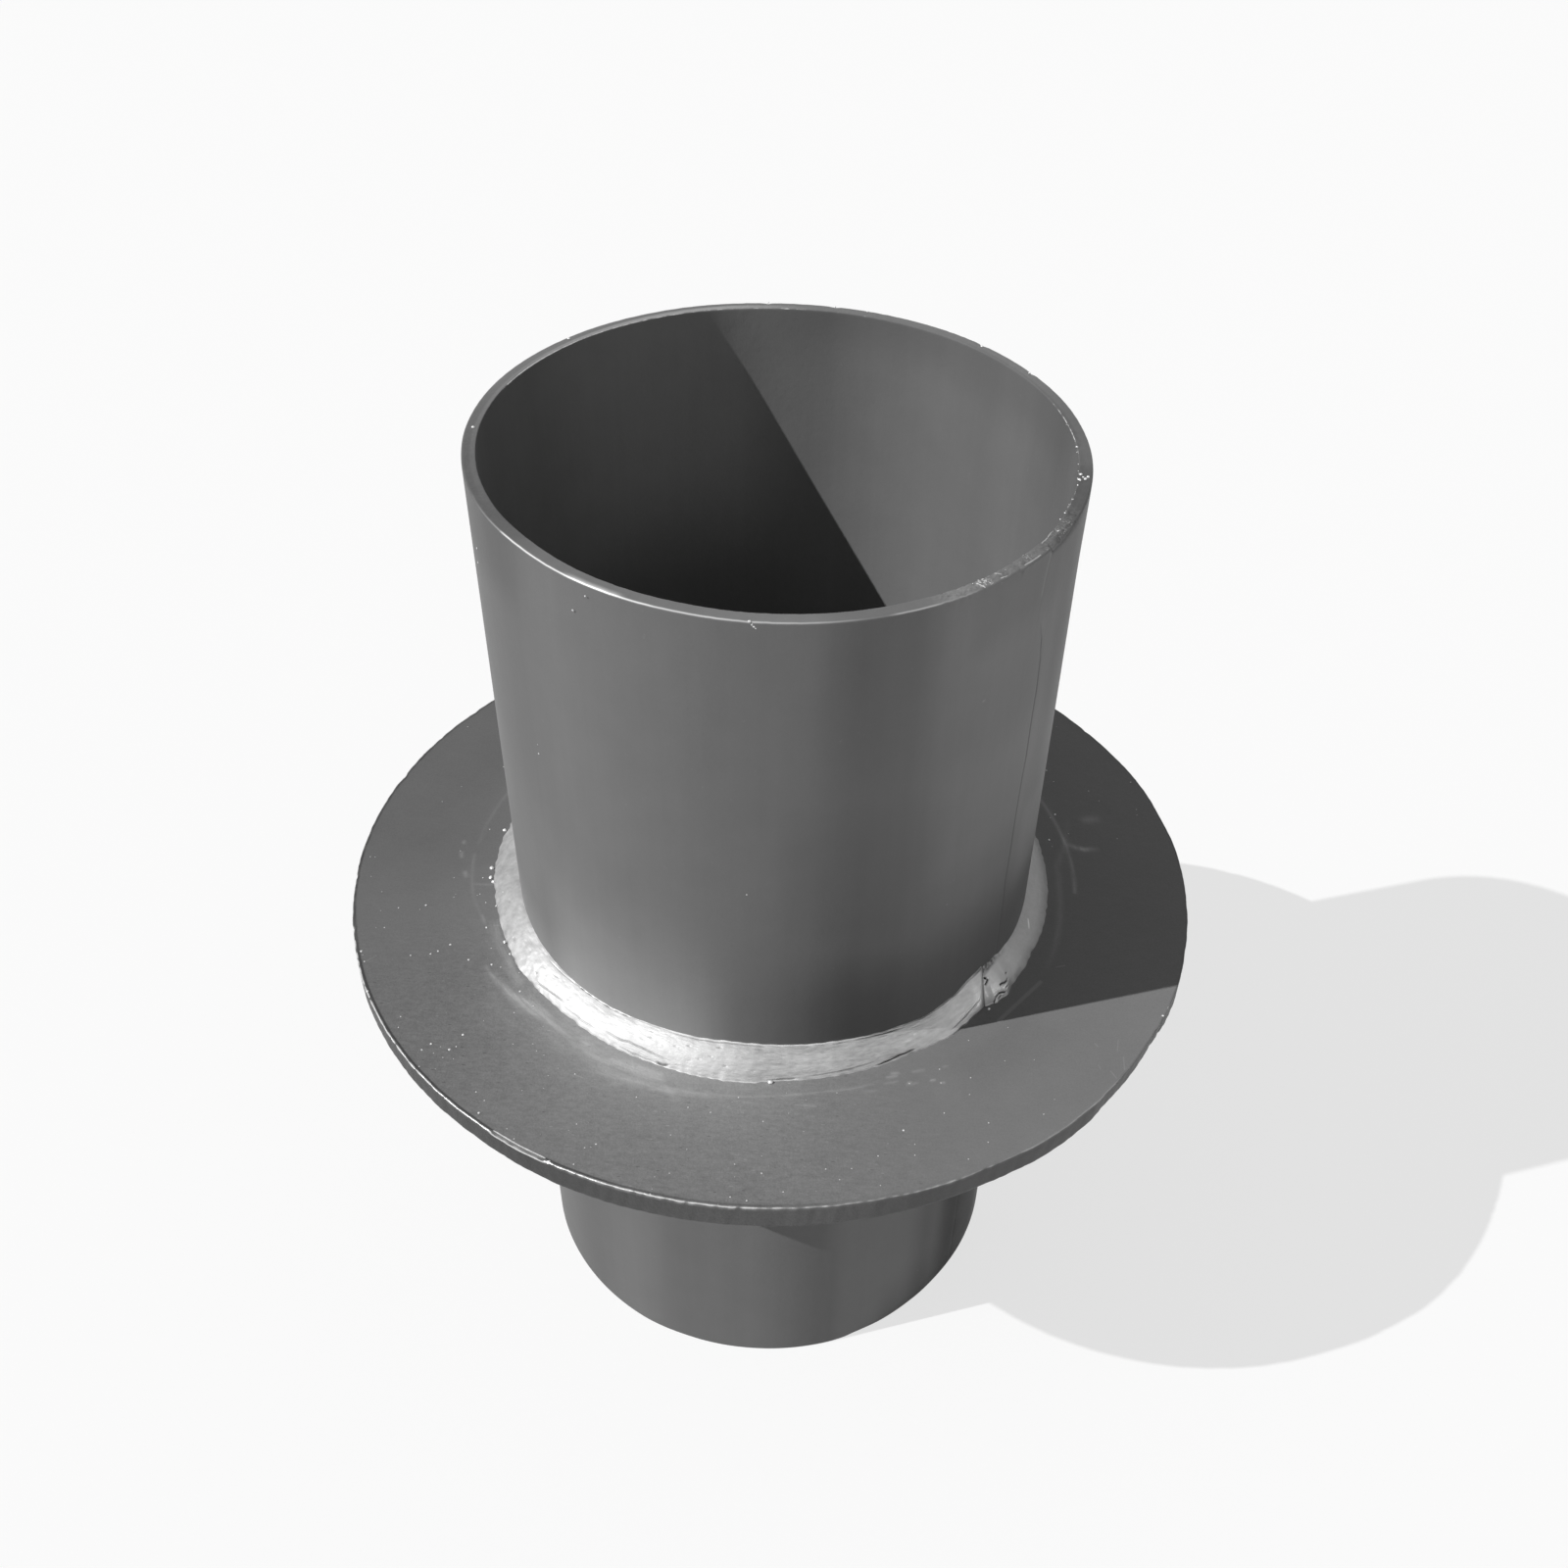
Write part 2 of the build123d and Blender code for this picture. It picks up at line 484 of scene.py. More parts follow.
cut_short = np.interp(off_by(pipe_angles, 0), [-66.5, -64.5, -50, -40, -30, -22, -12],
                      [0, 0.7, 1.3, 1.8, 1.5, 0.9, 0])[:, None]
pipe_z += cut_short * np.clip(1 - pipe_z / 12, 0, 1)
print("off the circle, mm: rim", top_out.min().round(1), "to", top_out.max().round(1),
      "foot", foot_out.min().round(1), "to", foot_out.max().round(1))

# %% [markdown]
# Paint wears first where an edge is proud. The mesh knows where its edges are, so that is written
# down here as marks from 0, sound paint, to 1, bare steel, and the finish breaks them up with noise
# later. A hairline along the outer edge is a painted highlight, brightest at the front left. It dims
# towards the front and shows again for a short stretch right of it. The torn end face is scored
# with fine scratches, closest together near -48 degrees.

# %% Where the rim is worn
def row_near(section, radius, height, reach):
    """1 for the points of a section at one place on it, fading over that many mm."""
    apart = np.hypot(section[:, 0] - radius, section[:, 1] - height)
    return np.exp(-(apart / reach) ** 2)[None, :]


outer_edge = row_near(pipe_section, pipe_radius - 0.35, pipe_top - 0.30, 0.469)
inner_edge = row_near(pipe_section, bore_radius + 0.15, pipe_top - 0.15, 0.346)
foot_edge = row_near(pipe_section, pipe_radius - 0.25, 0.20, 0.707)
edge_line = row_near(pipe_section, pipe_radius - 0.25, pipe_top - 0.25, 0.2646)
top_face = ((pipe_section[:, 1] > pipe_top - 0.1) * 1.0)[None, :]

worn_out = along(pipe_angles, [
    (-180, 0.1), (-168, 0.28), (-150, 0.22), (-60, 0.2), (-54, 0.28), (-20, 0.1), (0, 0.15),
    (30, 0.38), (140, 0.38), (165, 0.35)])[:, None]
worn_in = along(pipe_angles, [
    (-180, 0.2), (-90, 0.15), (-60, 0.15), (-22, 0.25), (-16, 0.52), (0, 0.47), (12, 0.6), (22, 0.5),
    (35, 0.3), (60, 0.4), (100, 0.5), (140, 0.62), (158, 0.75), (170, 0.4)])[:, None]
pipe_wear = outer_edge * worn_out + inner_edge * worn_in
pipe_wear = np.maximum(pipe_wear, top_face * torn * 0.30)
pipe_wear = np.maximum(pipe_wear, foot_edge * 0.55)

# painted highlight along the outer edge of the rim, strongest at the front left
painted_rim_highlight = along(pipe_angles, [
    (-156, 0), (-152, 0.06), (-147, 0.14), (-143.5, 0.24), (-141.2, 0.3), (-140.4, 0.9), (-136, 1),
    (-108, 1), (-105, 0.74), (-100, 0.72), (-96, 0.7), (-92, 0.58), (-86, 0.5), (-80, 0.38),
    (-75, 0.22), (-71, 0.08), (-68, 0.06), (-65.5, 0.4), (-60, 0.42), (-57, 0.22), (-52, 0.16),
    (-49, 0), (0, 0)])[:, None]
scored = sum(strength * near(pipe_angles, angle, width) for angle, width, strength in
             [(-48.2, 1.1, 1.25), (-53, 3, 0.30), (-43, 3, 0.20), (-36, 4, 0.4), (-25, 5, 0.5)])
pipe_piece = ring_mesh("primed_pipe", pipe_angles, pipe_r, pipe_z, {
    "wear": pipe_wear, "line": painted_rim_highlight * edge_line, "torn": torn * top_face,
    "scored": scored[:, None] * top_face, "seam": np.clip(from_seam, -5, 5)})

# %% [markdown]
# ## Ring plate
#
# The plate was cut from 10 mm steel with a flame. The rows of points lie close at the rim and beside
# the weld, where the surface has something to show, and wide apart in between.

# %% The plate's plain section
plate_angles = np.concatenate([np.arange(-180, -20, 0.27), np.arange(-20, 180, 0.5)])
slot_radius = pipe_radius + 0.75
edge_round = 0.35
rim_out = plate_radius - edge_round
section = arc((rim_out, plate_under + edge_round), edge_round, -90, 0, 4)
down_the_cut = np.linspace(plate_under + edge_round, plate_face - edge_round, 9)[1:-1]
section += [(plate_radius, z) for z in down_the_cut]
section += arc((rim_out, plate_face - edge_round), edge_round, 0, 90, 6)
section += [(r, plate_face) for r in (179.1, 178.9, 178.7, 178.4, 178, 177, 175, 170, 162, 154, 147)]
section += [(r, plate_face) for r in np.arange(142, 118, -0.62)]
section += [(slot_radius, plate_face)] + [(r, plate_under) for r in (slot_radius, 124, 140, 158, 170, 177)]
plate_section = np.array(section)
plate_r = np.tile(plate_section[:, 0], (len(plate_angles), 1))
plate_z = np.tile(plate_section[:, 1], (len(plate_angles), 1))
print("plate section:", plate_r.shape[1], "points at", plate_r.shape[0], "angles")

# %% [markdown]
# The outline is a circle only roughly. The cutter wandered by up to a millimetre and blew out small
# notches, mostly on the left. The cut leans out as it goes down along the front, and is undercut for
# a short stretch at the front right. A flame also leaves fine drag lines down the cut face, which
# lag behind the cut as they go down.

# %% The flame-cut rim
at_rim = np.clip((plate_r - 177) / 2.2, 0, 1)
down_cut = (plate_face - plate_z) / (plate_face - plate_under)
outline = along(plate_angles, [
    (-180, 0.0), (-172, -0.3), (-160, -0.3), (-153, 0.1), (-140, 0.1), (-125, 0.0), (-110, 0.2),
    (-90, 0.3), (-76, 0.3), (-70, 0.6), (-64, 0.8), (-60, 0.5), (-56, 0.7), (-52, 1.2), (-44, 1.0),
    (-36, 0.3), (-30, 0.1), (-22, 0.2), (-18, 0.7), (-11, 0.2), (0, 0.3), (11, 0.7), (16, 0.3),
    (23, 0.7), (36, 0.0), (60, 0.2), (90, -0.2), (120, 0.2), (150, -0.4), (160, -0.2), (170, 0.0)])
outline = outline + wander(plate_angles, 12, 24, 90, 0.07)
notches = [  # (angle, width in degrees, depth)
    (165.5, 0.8, 0.75), (148, 0.8, 0.55), (155.5, 0.4, 0.3), (160.6, 0.35, 0.3), (-173, 0.45, 0.4),
    (-163, 0.4, 0.45), (-27, 0.5, 0.4), (-24.5, 0.35, 0.4), (38, 0.6, 0.4), (74, 0.9, 0.5),
    (101, 0.4, 0.35), (127, 0.6, 0.45)]
for spot, width, depth in notches:
    outline = outline - depth * near(plate_angles, spot, width)
lag = plate_angles[:, None] + 0.55 * down_cut ** 1.6
drag_lines = np.abs(np.sin(np.radians(lag * 96) + 2.2 * wander(plate_angles, 13, 3, 30, 1.0)[:, None]))
drag = 0.10 * (drag_lines - 0.6) * np.clip(down_cut * 3, 0.25, 1)
gouges = crumble(plate_angles, plate_r, plate_z * 0.4, size=3.0, seed=5) * 0.10
undercut = 0.85 * stretch(plate_angles, -42, -24, 6)[:, None] * down_cut
spread = 0.7 * stretch(plate_angles, -118, -70, 14)[:, None] * down_cut
cut_face = ((plate_section[:, 0] > rim_out - 0.01) * 1.0)[None, :]
plate_r += at_rim * (outline[:, None] - undercut + spread) + cut_face * (drag + gouges)
print("outline from", outline.min().round(1), "to", outline.max().round(1), "mm,", len(notches), "notches")

# %% [markdown]
# The flame's blast left a lip of melted steel along the upper edge. It is a thin wall four tenths of
# a millimetre high round the left and the front left, low enough to miss by touch but tall enough to
# throw a hairline of shadow on the plate. It thins out towards the front and is hardly there on the
# right. At the front left a sliver of it has broken away, which leaves two thin edges with a small
# slope between them.

# %% The lip along the upper edge
upper_half = ((plate_section[:, 1] > plate_face - 1) * 1.0)[None, :]
lip_row = np.exp(-(np.clip(179.35 - plate_section[:, 0], 0, None) / 0.22) ** 2)[None, :] * upper_half
lip_row = lip_row * np.clip(1 - (plate_face - plate_section[:, 1]) / 0.5, 0, 1)[None, :]
lip = along(plate_angles, [
    (135, 0.12), (150, 0.3), (-175, 0.4), (-150, 0.42), (-126, 0.36), (-108, 0.24), (-90, 0.18),
    (-60, 0.12), (-30, 0.08), (0, 0.05), (60, 0.1), (110, 0.1)])
lip = lip * (1 + 0.35 * np.clip(wander(plate_angles, 14, 30, 200, 1.0), -1.5, 2))
broken = stretch(plate_angles, -121.5, -113.6, 1.4)
plate_z += lip_row * (lip * (1 - broken))[:, None]
plate_z += at_rim * upper_half * wander(plate_angles, 15, 2, 6, 0.05)[:, None]
slope = np.clip((plate_section[:, 0] - 178.8) / 1.1, 0, 1)[None, :] * upper_half
plate_z -= slope * broken[:, None] * 0.55
print("lip up to", lip.max().round(2), "mm high")

# %% [markdown]
# Marks tell the finish what happened where. The lip is rubbed bright at the front left, breaks into
# dashes towards the front and fades on the right, and both edges of the broken stretch are bright.
# Further marks are a thin dark line painted inside the lip as its shadow on the plate, and the cut
# face, where the coat lies thin over scale.

# %% Where the plate is worn
bright_lip = along(plate_angles, [
    (-175, 0.3), (-164, 0.36), (-160, 0.7), (-152, 0.9), (-122, 0.95), (-103, 0.95), (-92, 0.84),
    (-88, 0.64), (-82, 0.52), (-74, 0.4), (-45, 0.36), (-30, 0.36), (-27, 0.5), (-22, 0.5),
    (-18, 0.34), (10, 0.3), (60, 0.35), (110, 0.38), (150, 0.3)])[:, None]
lip_line = along(plate_angles, [
    (-113, 0.2), (-108, 0.6), (-101, 0.85), (-96, 0.85), (-92, 0.75), (-88, 0.66), (-84, 0.4),
    (-80, 0.28), (-76, 0.32), (-72, 0.2), (-64, 0.45), (-60, 0.18), (-56, 0.22), (-52, 0.36),
    (-44, 0.36), (-40, 0.3), (-35, 0.14), (-31, 0.05), (-24, 0.1), (-18, 0), (40, 0)])[:, None]
# painted shadow: a thin dark line inside the lip, where the lip shades the plate
parting = along(plate_angles, [
    (-172, 0), (-164, 0.4), (-155, 1), (-108, 0.9), (-100, 0.6), (-90, 0.5), (-82, 0.35), (-74, 0.1),
    (-60, 0), (60, 0)])[:, None]
ragged = 0.34 * wander(plate_angles, 16, 90, 300, 1.0) * stretch(plate_angles, 170, -58, 10)
ragged = np.clip(1 + ragged, 0.35, 1.35)[:, None]
gone = broken[:, None]

crest = row_near(plate_section, 179.7, plate_face - 0.05, 0.36)
torn_edges = row_near(plate_section, 178.6, plate_face, 0.28)
torn_edges = torn_edges + row_near(plate_section, 180, plate_face - 0.35, 0.30)
lower_edge = row_near(plate_section, 179.7, plate_under + 0.3, 0.5)
plate_wear = crest * bright_lip * (1 - gone) * ragged + torn_edges * gone * 1.25 + lower_edge * 0.38
plate_line = row_near(plate_section, 179.85, plate_face - 0.05, 0.30) * lip_line * ragged ** 2
plate_painted_lip_shadow = row_near(plate_section, 178.65, plate_face, 0.34) * parting
plate_cut = np.tile(cut_face, (len(plate_angles), 1))
print("worn share of the rim:", round(float((plate_wear.max(axis=1) > 0.5).mean()), 2))

# %% [markdown]
# Two more marks lie round the weld. One is a pale glow that grows towards the bead, read from a table
# by angle: partly where the welder's wire brush rubbed the coat, partly painted light thrown back from
# the bright weld. The other is the brush's own strokes a little off the bead: a broad band of them at
# the front left, one fine line along the front, scratches and scribbles on the right, and thin tide
# lines at the left. Where the brush was lifted, the band ends bluntly. Every stroke is (width in mm,
# strength, then the places that it runs through, each an angle and a radius).

# %% The brushed band
def drawn(line, strokes, blunt=False):
    """All strokes together. line draws one of them along a path with a width."""
    return sum(strength * line(path, width, blunt) for width, strength, *path in strokes)


def on_plate(path, width, blunt=False):
    """1 along a path of (angle, radius). One degree is 2.2 mm long where the strokes are."""
    return trace(plate_angles[:, None], plate_section[None, :, 0], (2.22, 1.0), path, width, blunt)


strokes = [
    # the smear at the left
    (0.7, 0.8, (-149, 132.6), (-146, 132.3), (-143, 131.5)),
    (2.0, 0.85, (-147, 132.8), (-143, 131.4), (-139, 130.4), (-135.5, 128.3), (-132, 127.6)),
    (1.2, 1.25, (-143, 131.2), (-139, 129.2), (-136, 126.8), (-133, 126.6), (-129, 127.0),
     (-125, 127.6), (-122, 129.2)),
    (0.9, 0.75, (-139.5, 129.9), (-135, 129.4), (-131, 128.6)),
    (2.2, 0.75, (-160, 122.5), (-153, 123.5), (-146, 122.5)),
    (1.0, 0.5, (-138, 124.6), (-134, 124.8), (-130, 125.2)),
    (2.2, 0.7, (-149, 123.6), (-145, 124.2), (-141, 123.6)),
    # its strokes towards the front
    (1.1, 0.5, (-107, 133.2), (-102, 132.0)),
    (1.5, 1.0, (-117, 131.6), (-113, 132.4), (-109, 132.0), (-105, 131.4), (-101, 130.9),
     (-95, 129.9)),
    (1.4, 0.4, (-121, 131.8), (-117, 134.0), (-113, 134.4), (-109, 133.4)),
    (0.8, 0.45, (-117.9, 127.5), (-111.8, 127.3), (-106.3, 128.4)),
    (0.8, 0.55, (-118.8, 137.2), (-114.0, 133.8), (-107.6, 131.1)),
    (0.8, 0.4, (-114.7, 139.3), (-111.1, 135.3), (-107.8, 134.0)),
    (1.1, 0.45, (-106.1, 127.2), (-103.7, 131.6), (-101.2, 136.2)),
    (0.55, 0.7, (-99, 129.7), (-93, 129.2), (-88, 128.1), (-82, 127.4), (-76, 127.2),
     (-71, 127.8), (-66, 127.2)),
    (0.5, 0.6, (-92.5, 131.2), (-89, 131.4)),
    # one dab at the far left
    (0.6, 0.5, (-162, 127.2), (-159, 127.0)),
    # round the right, up to a hook and two loose strokes
    (1.3, 0.32, (-24, 127.6), (-18, 127.0), (-10, 125.6), (0, 124.6), (5.8, 124.8),
     (9.3, 127.9), (12.8, 131.9), (19.4, 138.2)),
    (1.2, 0.85, (12.3, 132.3), (11.0, 135.8), (10.3, 139.6), (10.5, 142.6), (11.7, 144.7)),
    (1.1, 0.65, (19.7, 144.2), (18.4, 146.6), (16.7, 148.8), (14.7, 149.1)),
    (1.8, 0.35, (14.7, 149.1), (17.7, 157.2)),
    # behind the pipe
    (3.0, 0.25, (60, 130), (100, 131), (140, 132), (165, 131)),
    # thin lines at the left
    (0.8, 0.62, (172.5, 130.0), (178.1, 131.2), (-178.5, 131.7), (-170.4, 130.5),
     (-165.3, 129.3), (-161.0, 126.9), (-156.3, 126.6)),
    (0.6, 0.45, (-170.4, 130.5), (-169.8, 120.9)), (0.5, 0.5, (-158.4, 124.1), (-157.9, 120.8)),
    # short dabs right of the front
    (0.5, 1.0, (-62.6, 131.6), (-61.7, 132.3)), (0.5, 1.3, (-58.8, 134.3), (-57.8, 135.2)),
    (0.5, 1.1, (-57.5, 137.2), (-56.7, 138.1)), (1.0, 0.6, (-80.8, 133.0), (-78.7, 133.6)),
    (0.8, 0.9, (-64.4, 124.7), (-62.7, 126.1)), (0.7, 1.0, (-65.6, 126.3), (-63.3, 127.2)),
    (0.6, 0.5, (-62.9, 132.4), (-60.6, 133.4)), (0.7, 0.6, (-66.5, 128.8), (-63.6, 129.6)),
    (0.7, 0.6, (-60.8, 127.6), (-58.2, 128.8)), (0.6, 0.5, (-70.2, 130.4), (-67.6, 131.0)),
    (0.6, 0.5, (-55.4, 130.6), (-54.2, 131.8)),
    # drips at the far left
    (1.2, 0.6, (-174.2, 134.4), (-172.1, 132.7)), (0.8, 0.8, (177.9, 137.8), (178.8, 137.8)),
    (0.8, 0.8, (-179.4, 137.7), (-177.3, 136.7))]
lifted = [
    (2.7, 1.15, (-121.7, 127.4), (-118.4, 128.6), (-115.2, 128.4), (-111.5, 127.4), (-106.6, 126.8)),
    (1.6, 0.7, (-115.5, 126.4), (-111.5, 125.2), (-106.4, 125.4))]
on_face = ((plate_section[:, 1] > plate_face - 0.01) & (plate_section[:, 0] < 150)) * 1.0
plate_brushed = (drawn(on_plate, strokes) + drawn(on_plate, lifted, blunt=True)) * on_face[None, :]
print("strokes:", len(strokes), "lifted:", len(lifted))

# %% [markdown]
# The glow is strongest at the bead and fades out towards the rim. Its inner part is narrow and
# bright, and a wide faint one lies around it at the front left. Both die out at the front right, and
# the narrow one comes back faintly behind the pipe. Both are partly rubbed coat and partly painted
# light from the weld.

# %% The glow beside the weld
# partly rubbed coat, partly painted light thrown back from the bright weld
rubbed = along(plate_angles, [
    (-180, 0.14), (-172, 0.18), (-162, 0.24), (-155, 0.34), (-150, 0.32), (-145, 0.46), (-141, 0.76),
    (-136, 1.04), (-122, 1.08), (-108, 1.0), (-95, 0.68), (-85, 0.34), (-74, 0.11), (-60, 0.05),
    (-40, 0.0), (20, 0.0), (60, 0.15), (120, 0.3), (165, 0.15)])[:, None]
# the wide faint part, also rubbed coat and painted bounce light together
wide_rub_and_bounce = along(plate_angles, [
    (-150, 0.0), (-136, 0.6), (-125, 1.0), (-88, 1.0), (-76, 0.4), (-64, 0.1), (-50, 0.0),
    (180, 0.0)])[:, None]
from_axis = plate_section[None, :, 0]
close_in = np.clip((153 - from_axis) / 29, 0, 1) ** 1.7 * 0.9
far_out = np.clip((178 - from_axis) / 27, 0, 1) * 0.20
top_rows = ((plate_section[:, 1] > plate_face - 0.01) & (plate_section[:, 0] < 178)) * 1.0
plate_rubbed_and_bounce = top_rows[None, :] * (rubbed * close_in + wide_rub_and_bounce * far_out)
plate_piece = ring_mesh("flame_cut_plate", plate_angles, plate_r, plate_z, {
    "wear": plate_wear, "line": plate_line, "parting": plate_painted_lip_shadow, "cut": plate_cut,
    "brushed": plate_brushed, "rubbed": plate_rubbed_and_bounce})

# %% [markdown]
# ## Upper weld
#
# A fillet weld fills the corner between pipe and plate all the way round. It was run by hand in more
# than one pass, so both its edges wander, it is wider at the left than at the right, and it ends in
# a lump that overlaps its own start, at the front right. The section is a triangle with a bulging
# face. Its two toes are read from short tables by angle, with a raggedness on top that grows to
# lumps at the left, and they dip just under the paint so that they meet it in a clean line. Both
# welds need such a face and the direction that looks out of it, so one function makes them.

# %% The bead's section
SUNK = 0.25  # how far a toe dips under the paint, in mm
HEEL = 1.2  # how far the hidden back of a bead lies inside pipe and plate, in mm


def closer_at_ends(count):
    """Shares from 0 to 1 across a bead's face, as a single line of a table."""
    return (0.5 - 0.5 * np.cos(np.linspace(0, np.pi, count)))[None, :]


def flat_face(start_r, start_z, end_r, end_z, across):
    """The straight face of a bead from one toe to the other, and the direction out of it."""
    start = np.stack(np.broadcast_arrays(start_r, start_z), axis=-1)[:, None, :]
    end = np.stack(np.broadcast_arrays(end_r, end_z), axis=-1)[:, None, :]
    face = start * (1 - across[..., None]) + end * across[..., None]
    outward = np.stack([end[..., 1] - start[..., 1], start[..., 0] - end[..., 0]], axis=-1)
    return face, outward / np.linalg.norm(outward, axis=-1, keepdims=True)


bead_angles = np.concatenate([np.arange(-41.5, -27, 0.085), np.arange(-27, 0, 0.4),
                              np.arange(0, 190, 0.6), np.arange(190, 318.5, 0.32)])
plate_toe = along(bead_angles, [
    (-180, 121.6), (-172, 121.5), (-165, 120.6), (-155, 120.5), (-146, 121.1), (-132, 120.1),
    (-113, 121.3), (-92, 122.0), (-84, 120.4), (-67, 120.0), (-58, 119.0), (-50, 119.7),
    (-41.7, 117.8), (-39.4, 117.3), (-37.8, 118.6), (-36.4, 120.0), (-33.6, 120.6), (-30, 119.3),
    (-25, 119.4), (-20, 119.0), (-14, 119.6), (0, 119.5), (25, 119.8), (60, 120.4), (95, 119.8),
    (130, 120.6), (155, 120.2)])
pipe_toe = along(bead_angles, [
    (-180, 222.5), (-150, 221.6), (-125, 221.4), (-108, 223.0), (-92, 224.2), (-76, 223.3),
    (-60, 222.0), (-52, 221.0), (-45, 223.6), (-40, 227.0), (-35, 228.5), (-31.5, 227.0),
    (-28, 224.6), (-20, 222.2), (0, 222.8), (30, 223.6), (70, 222.9), (110, 223.9), (150, 222.8)])
across = closer_at_ends(80)
bead_face, bead_out = flat_face(plate_toe + SUNK, plate_face - SUNK,
                                pipe_radius - SUNK, pipe_toe + SUNK, across)
left_side = stretch(bead_angles, -200, -136, 24)[:, None]
ragged_out = wander(bead_angles, 21, 24, 190, 0.26)[:, None]
ragged_up = wander(bead_angles, 22, 20, 120, 0.14)[:, None]
lumpy = wander(bead_angles, 25, 30, 90, 0.30)[:, None] * left_side
bead_face[..., 0] += (ragged_out + lumpy) * (1 - across) ** 8
bead_face[..., 1] += (ragged_up + lumpy[::-1] * 0.3) * across ** 8
print("bead: toe from", plate_toe.min().round(1), "to", plate_toe.max().round(1), "mm radius")

# %% [markdown]
# The face of the bead is then raised and cut along its own outward direction. A bulge comes first,
# then the faint ripples of the arc's steps, and mottling that is coarser on the left. All of it dies
# out at both toes.

# %% Bulge, ripples and mottling
turn = bead_angles[:, None]
hold = np.clip(np.minimum(across, 1 - across) / 0.06, 0, 1)
bulge = (0.9 + wander(bead_angles, 23, 2, 12, 0.14))[:, None] * 4 * across * (1 - across)
ripple_turn = turn * 1.9 + 4 * (across - 0.5) ** 2 + wander(bead_angles, 24, 8, 60, 0.5)[:, None]
hidden_side = stretch(bead_angles, 10, 170, 30)[:, None]
ripples = (0.002 + 0.03 * hidden_side) * np.sin(2 * np.pi * ripple_turn * 0.45)
coarse = crumble(bead_angles, bead_face[..., 0], bead_face[..., 1], size=3.4, seed=8)
pitted = crumble(bead_angles, bead_face[..., 0], bead_face[..., 1], size=1.3, seed=9)
front_side = stretch(bead_angles, -130, -60, 30)[:, None]
rough = coarse * (0.03 + 0.16 * left_side + 0.04 * front_side)
rough = rough - np.clip(pitted - 0.3, 0, 1) * (0.05 + 0.12 * left_side + 0.06 * front_side)
print("rough from", rough.min().round(2), "to", rough.max().round(2), "mm")

# %% [markdown]
# Thin dark lines show where one pass laps another or a toe was left open. They are grooves that run
# across the table of angle and place, and fade out at both ends. Pores and the crannies of the final
# lump are short grooves with blunt ends. Crust is the opposite, thin pale slag that stands up a
# little. Each is written as the plate's strokes are: (width in mm, depth, then its places), where a
# place is an angle and how far across the bead's face it lies, from 0 at the plate to 1 at the pipe.

# %% Laps, slits and pores
def on_bead(path, width, blunt=False):
    """1 along a path of (angle, place across). The bead's face is 14 mm wide, and a degree is 2 mm."""
    return trace(turn, across, (2.05, 14.0), path, width, blunt)


laps = [
    (0.24, 1.0, (-66.0, 0.06), (-61.6, 0.11), (-57.6, 0.1)),
    (0.16, 0.4, (-63.6, 0.135), (-60.4, 0.145)),
    (0.17, 0.5, (-139.6, 0.17), (-136, 0.24), (-131.4, 0.3)), (0.22, 0.2, (-131, 0.18), (-122, 0.2)),
    (0.16, 0.55, (-119.8, 0.3), (-115.8, 0.28), (-114.4, 0.33), (-110.4, 0.29), (-105.6, 0.21)),
    (0.18, 0.3, (-116, 0.1), (-108, 0.06)), (0.16, 0.8, (-130.6, 0.945), (-129.2, 0.95)),
    (0.16, 0.8, (-128.6, 0.955), (-127, 0.95)), (0.16, 0.7, (-126.4, 0.96), (-124.6, 0.955)),
    (0.16, 0.8, (-123.6, 0.95), (-121.8, 0.955)), (0.15, 0.7, (-120.8, 0.95), (-119.4, 0.945)),
    (0.15, 0.7, (-118.8, 0.94), (-117, 0.95)), (0.18, 0.25, (-141, 0.88), (-136, 0.91), (-132, 0.94)),
    (0.2, 0.25, (-108, 0.94), (-97, 0.93), (-88, 0.94)), (0.3, 0.5, (-86, 0.05), (-81.5, 0.07)),
    (0.24, 0.38, (-79, 0.1), (-72, 0.13), (-66, 0.17)),
    (0.18, 0.65, (-69, 0.93), (-64, 0.91), (-58, 0.89)), (0.3, 0.12, (-57, 0.8), (-54, 0.78)),
    (0.2, 0.6, (-49, 0.17), (-47, 0.19), (-43.2, 0.25), (-40, 0.34)),
    (0.22, 0.12, (-47.5, 0.27), (-44, 0.34), (-41, 0.42)), (0.16, 0.35, (-74, 0.9), (-71, 0.92)),
    (0.16, 0.35, (-63.5, 0.86), (-61.8, 0.84)), (0.16, 0.25, (-60.6, 0.72), (-58.4, 0.7)),
    (0.3, 0.4, (18, 0.12), (31, 0.2)), (0.3, 0.35, (66, 0.85), (80, 0.9)),
    (0.3, 0.5, (118, 0.1), (126, 0.16))]
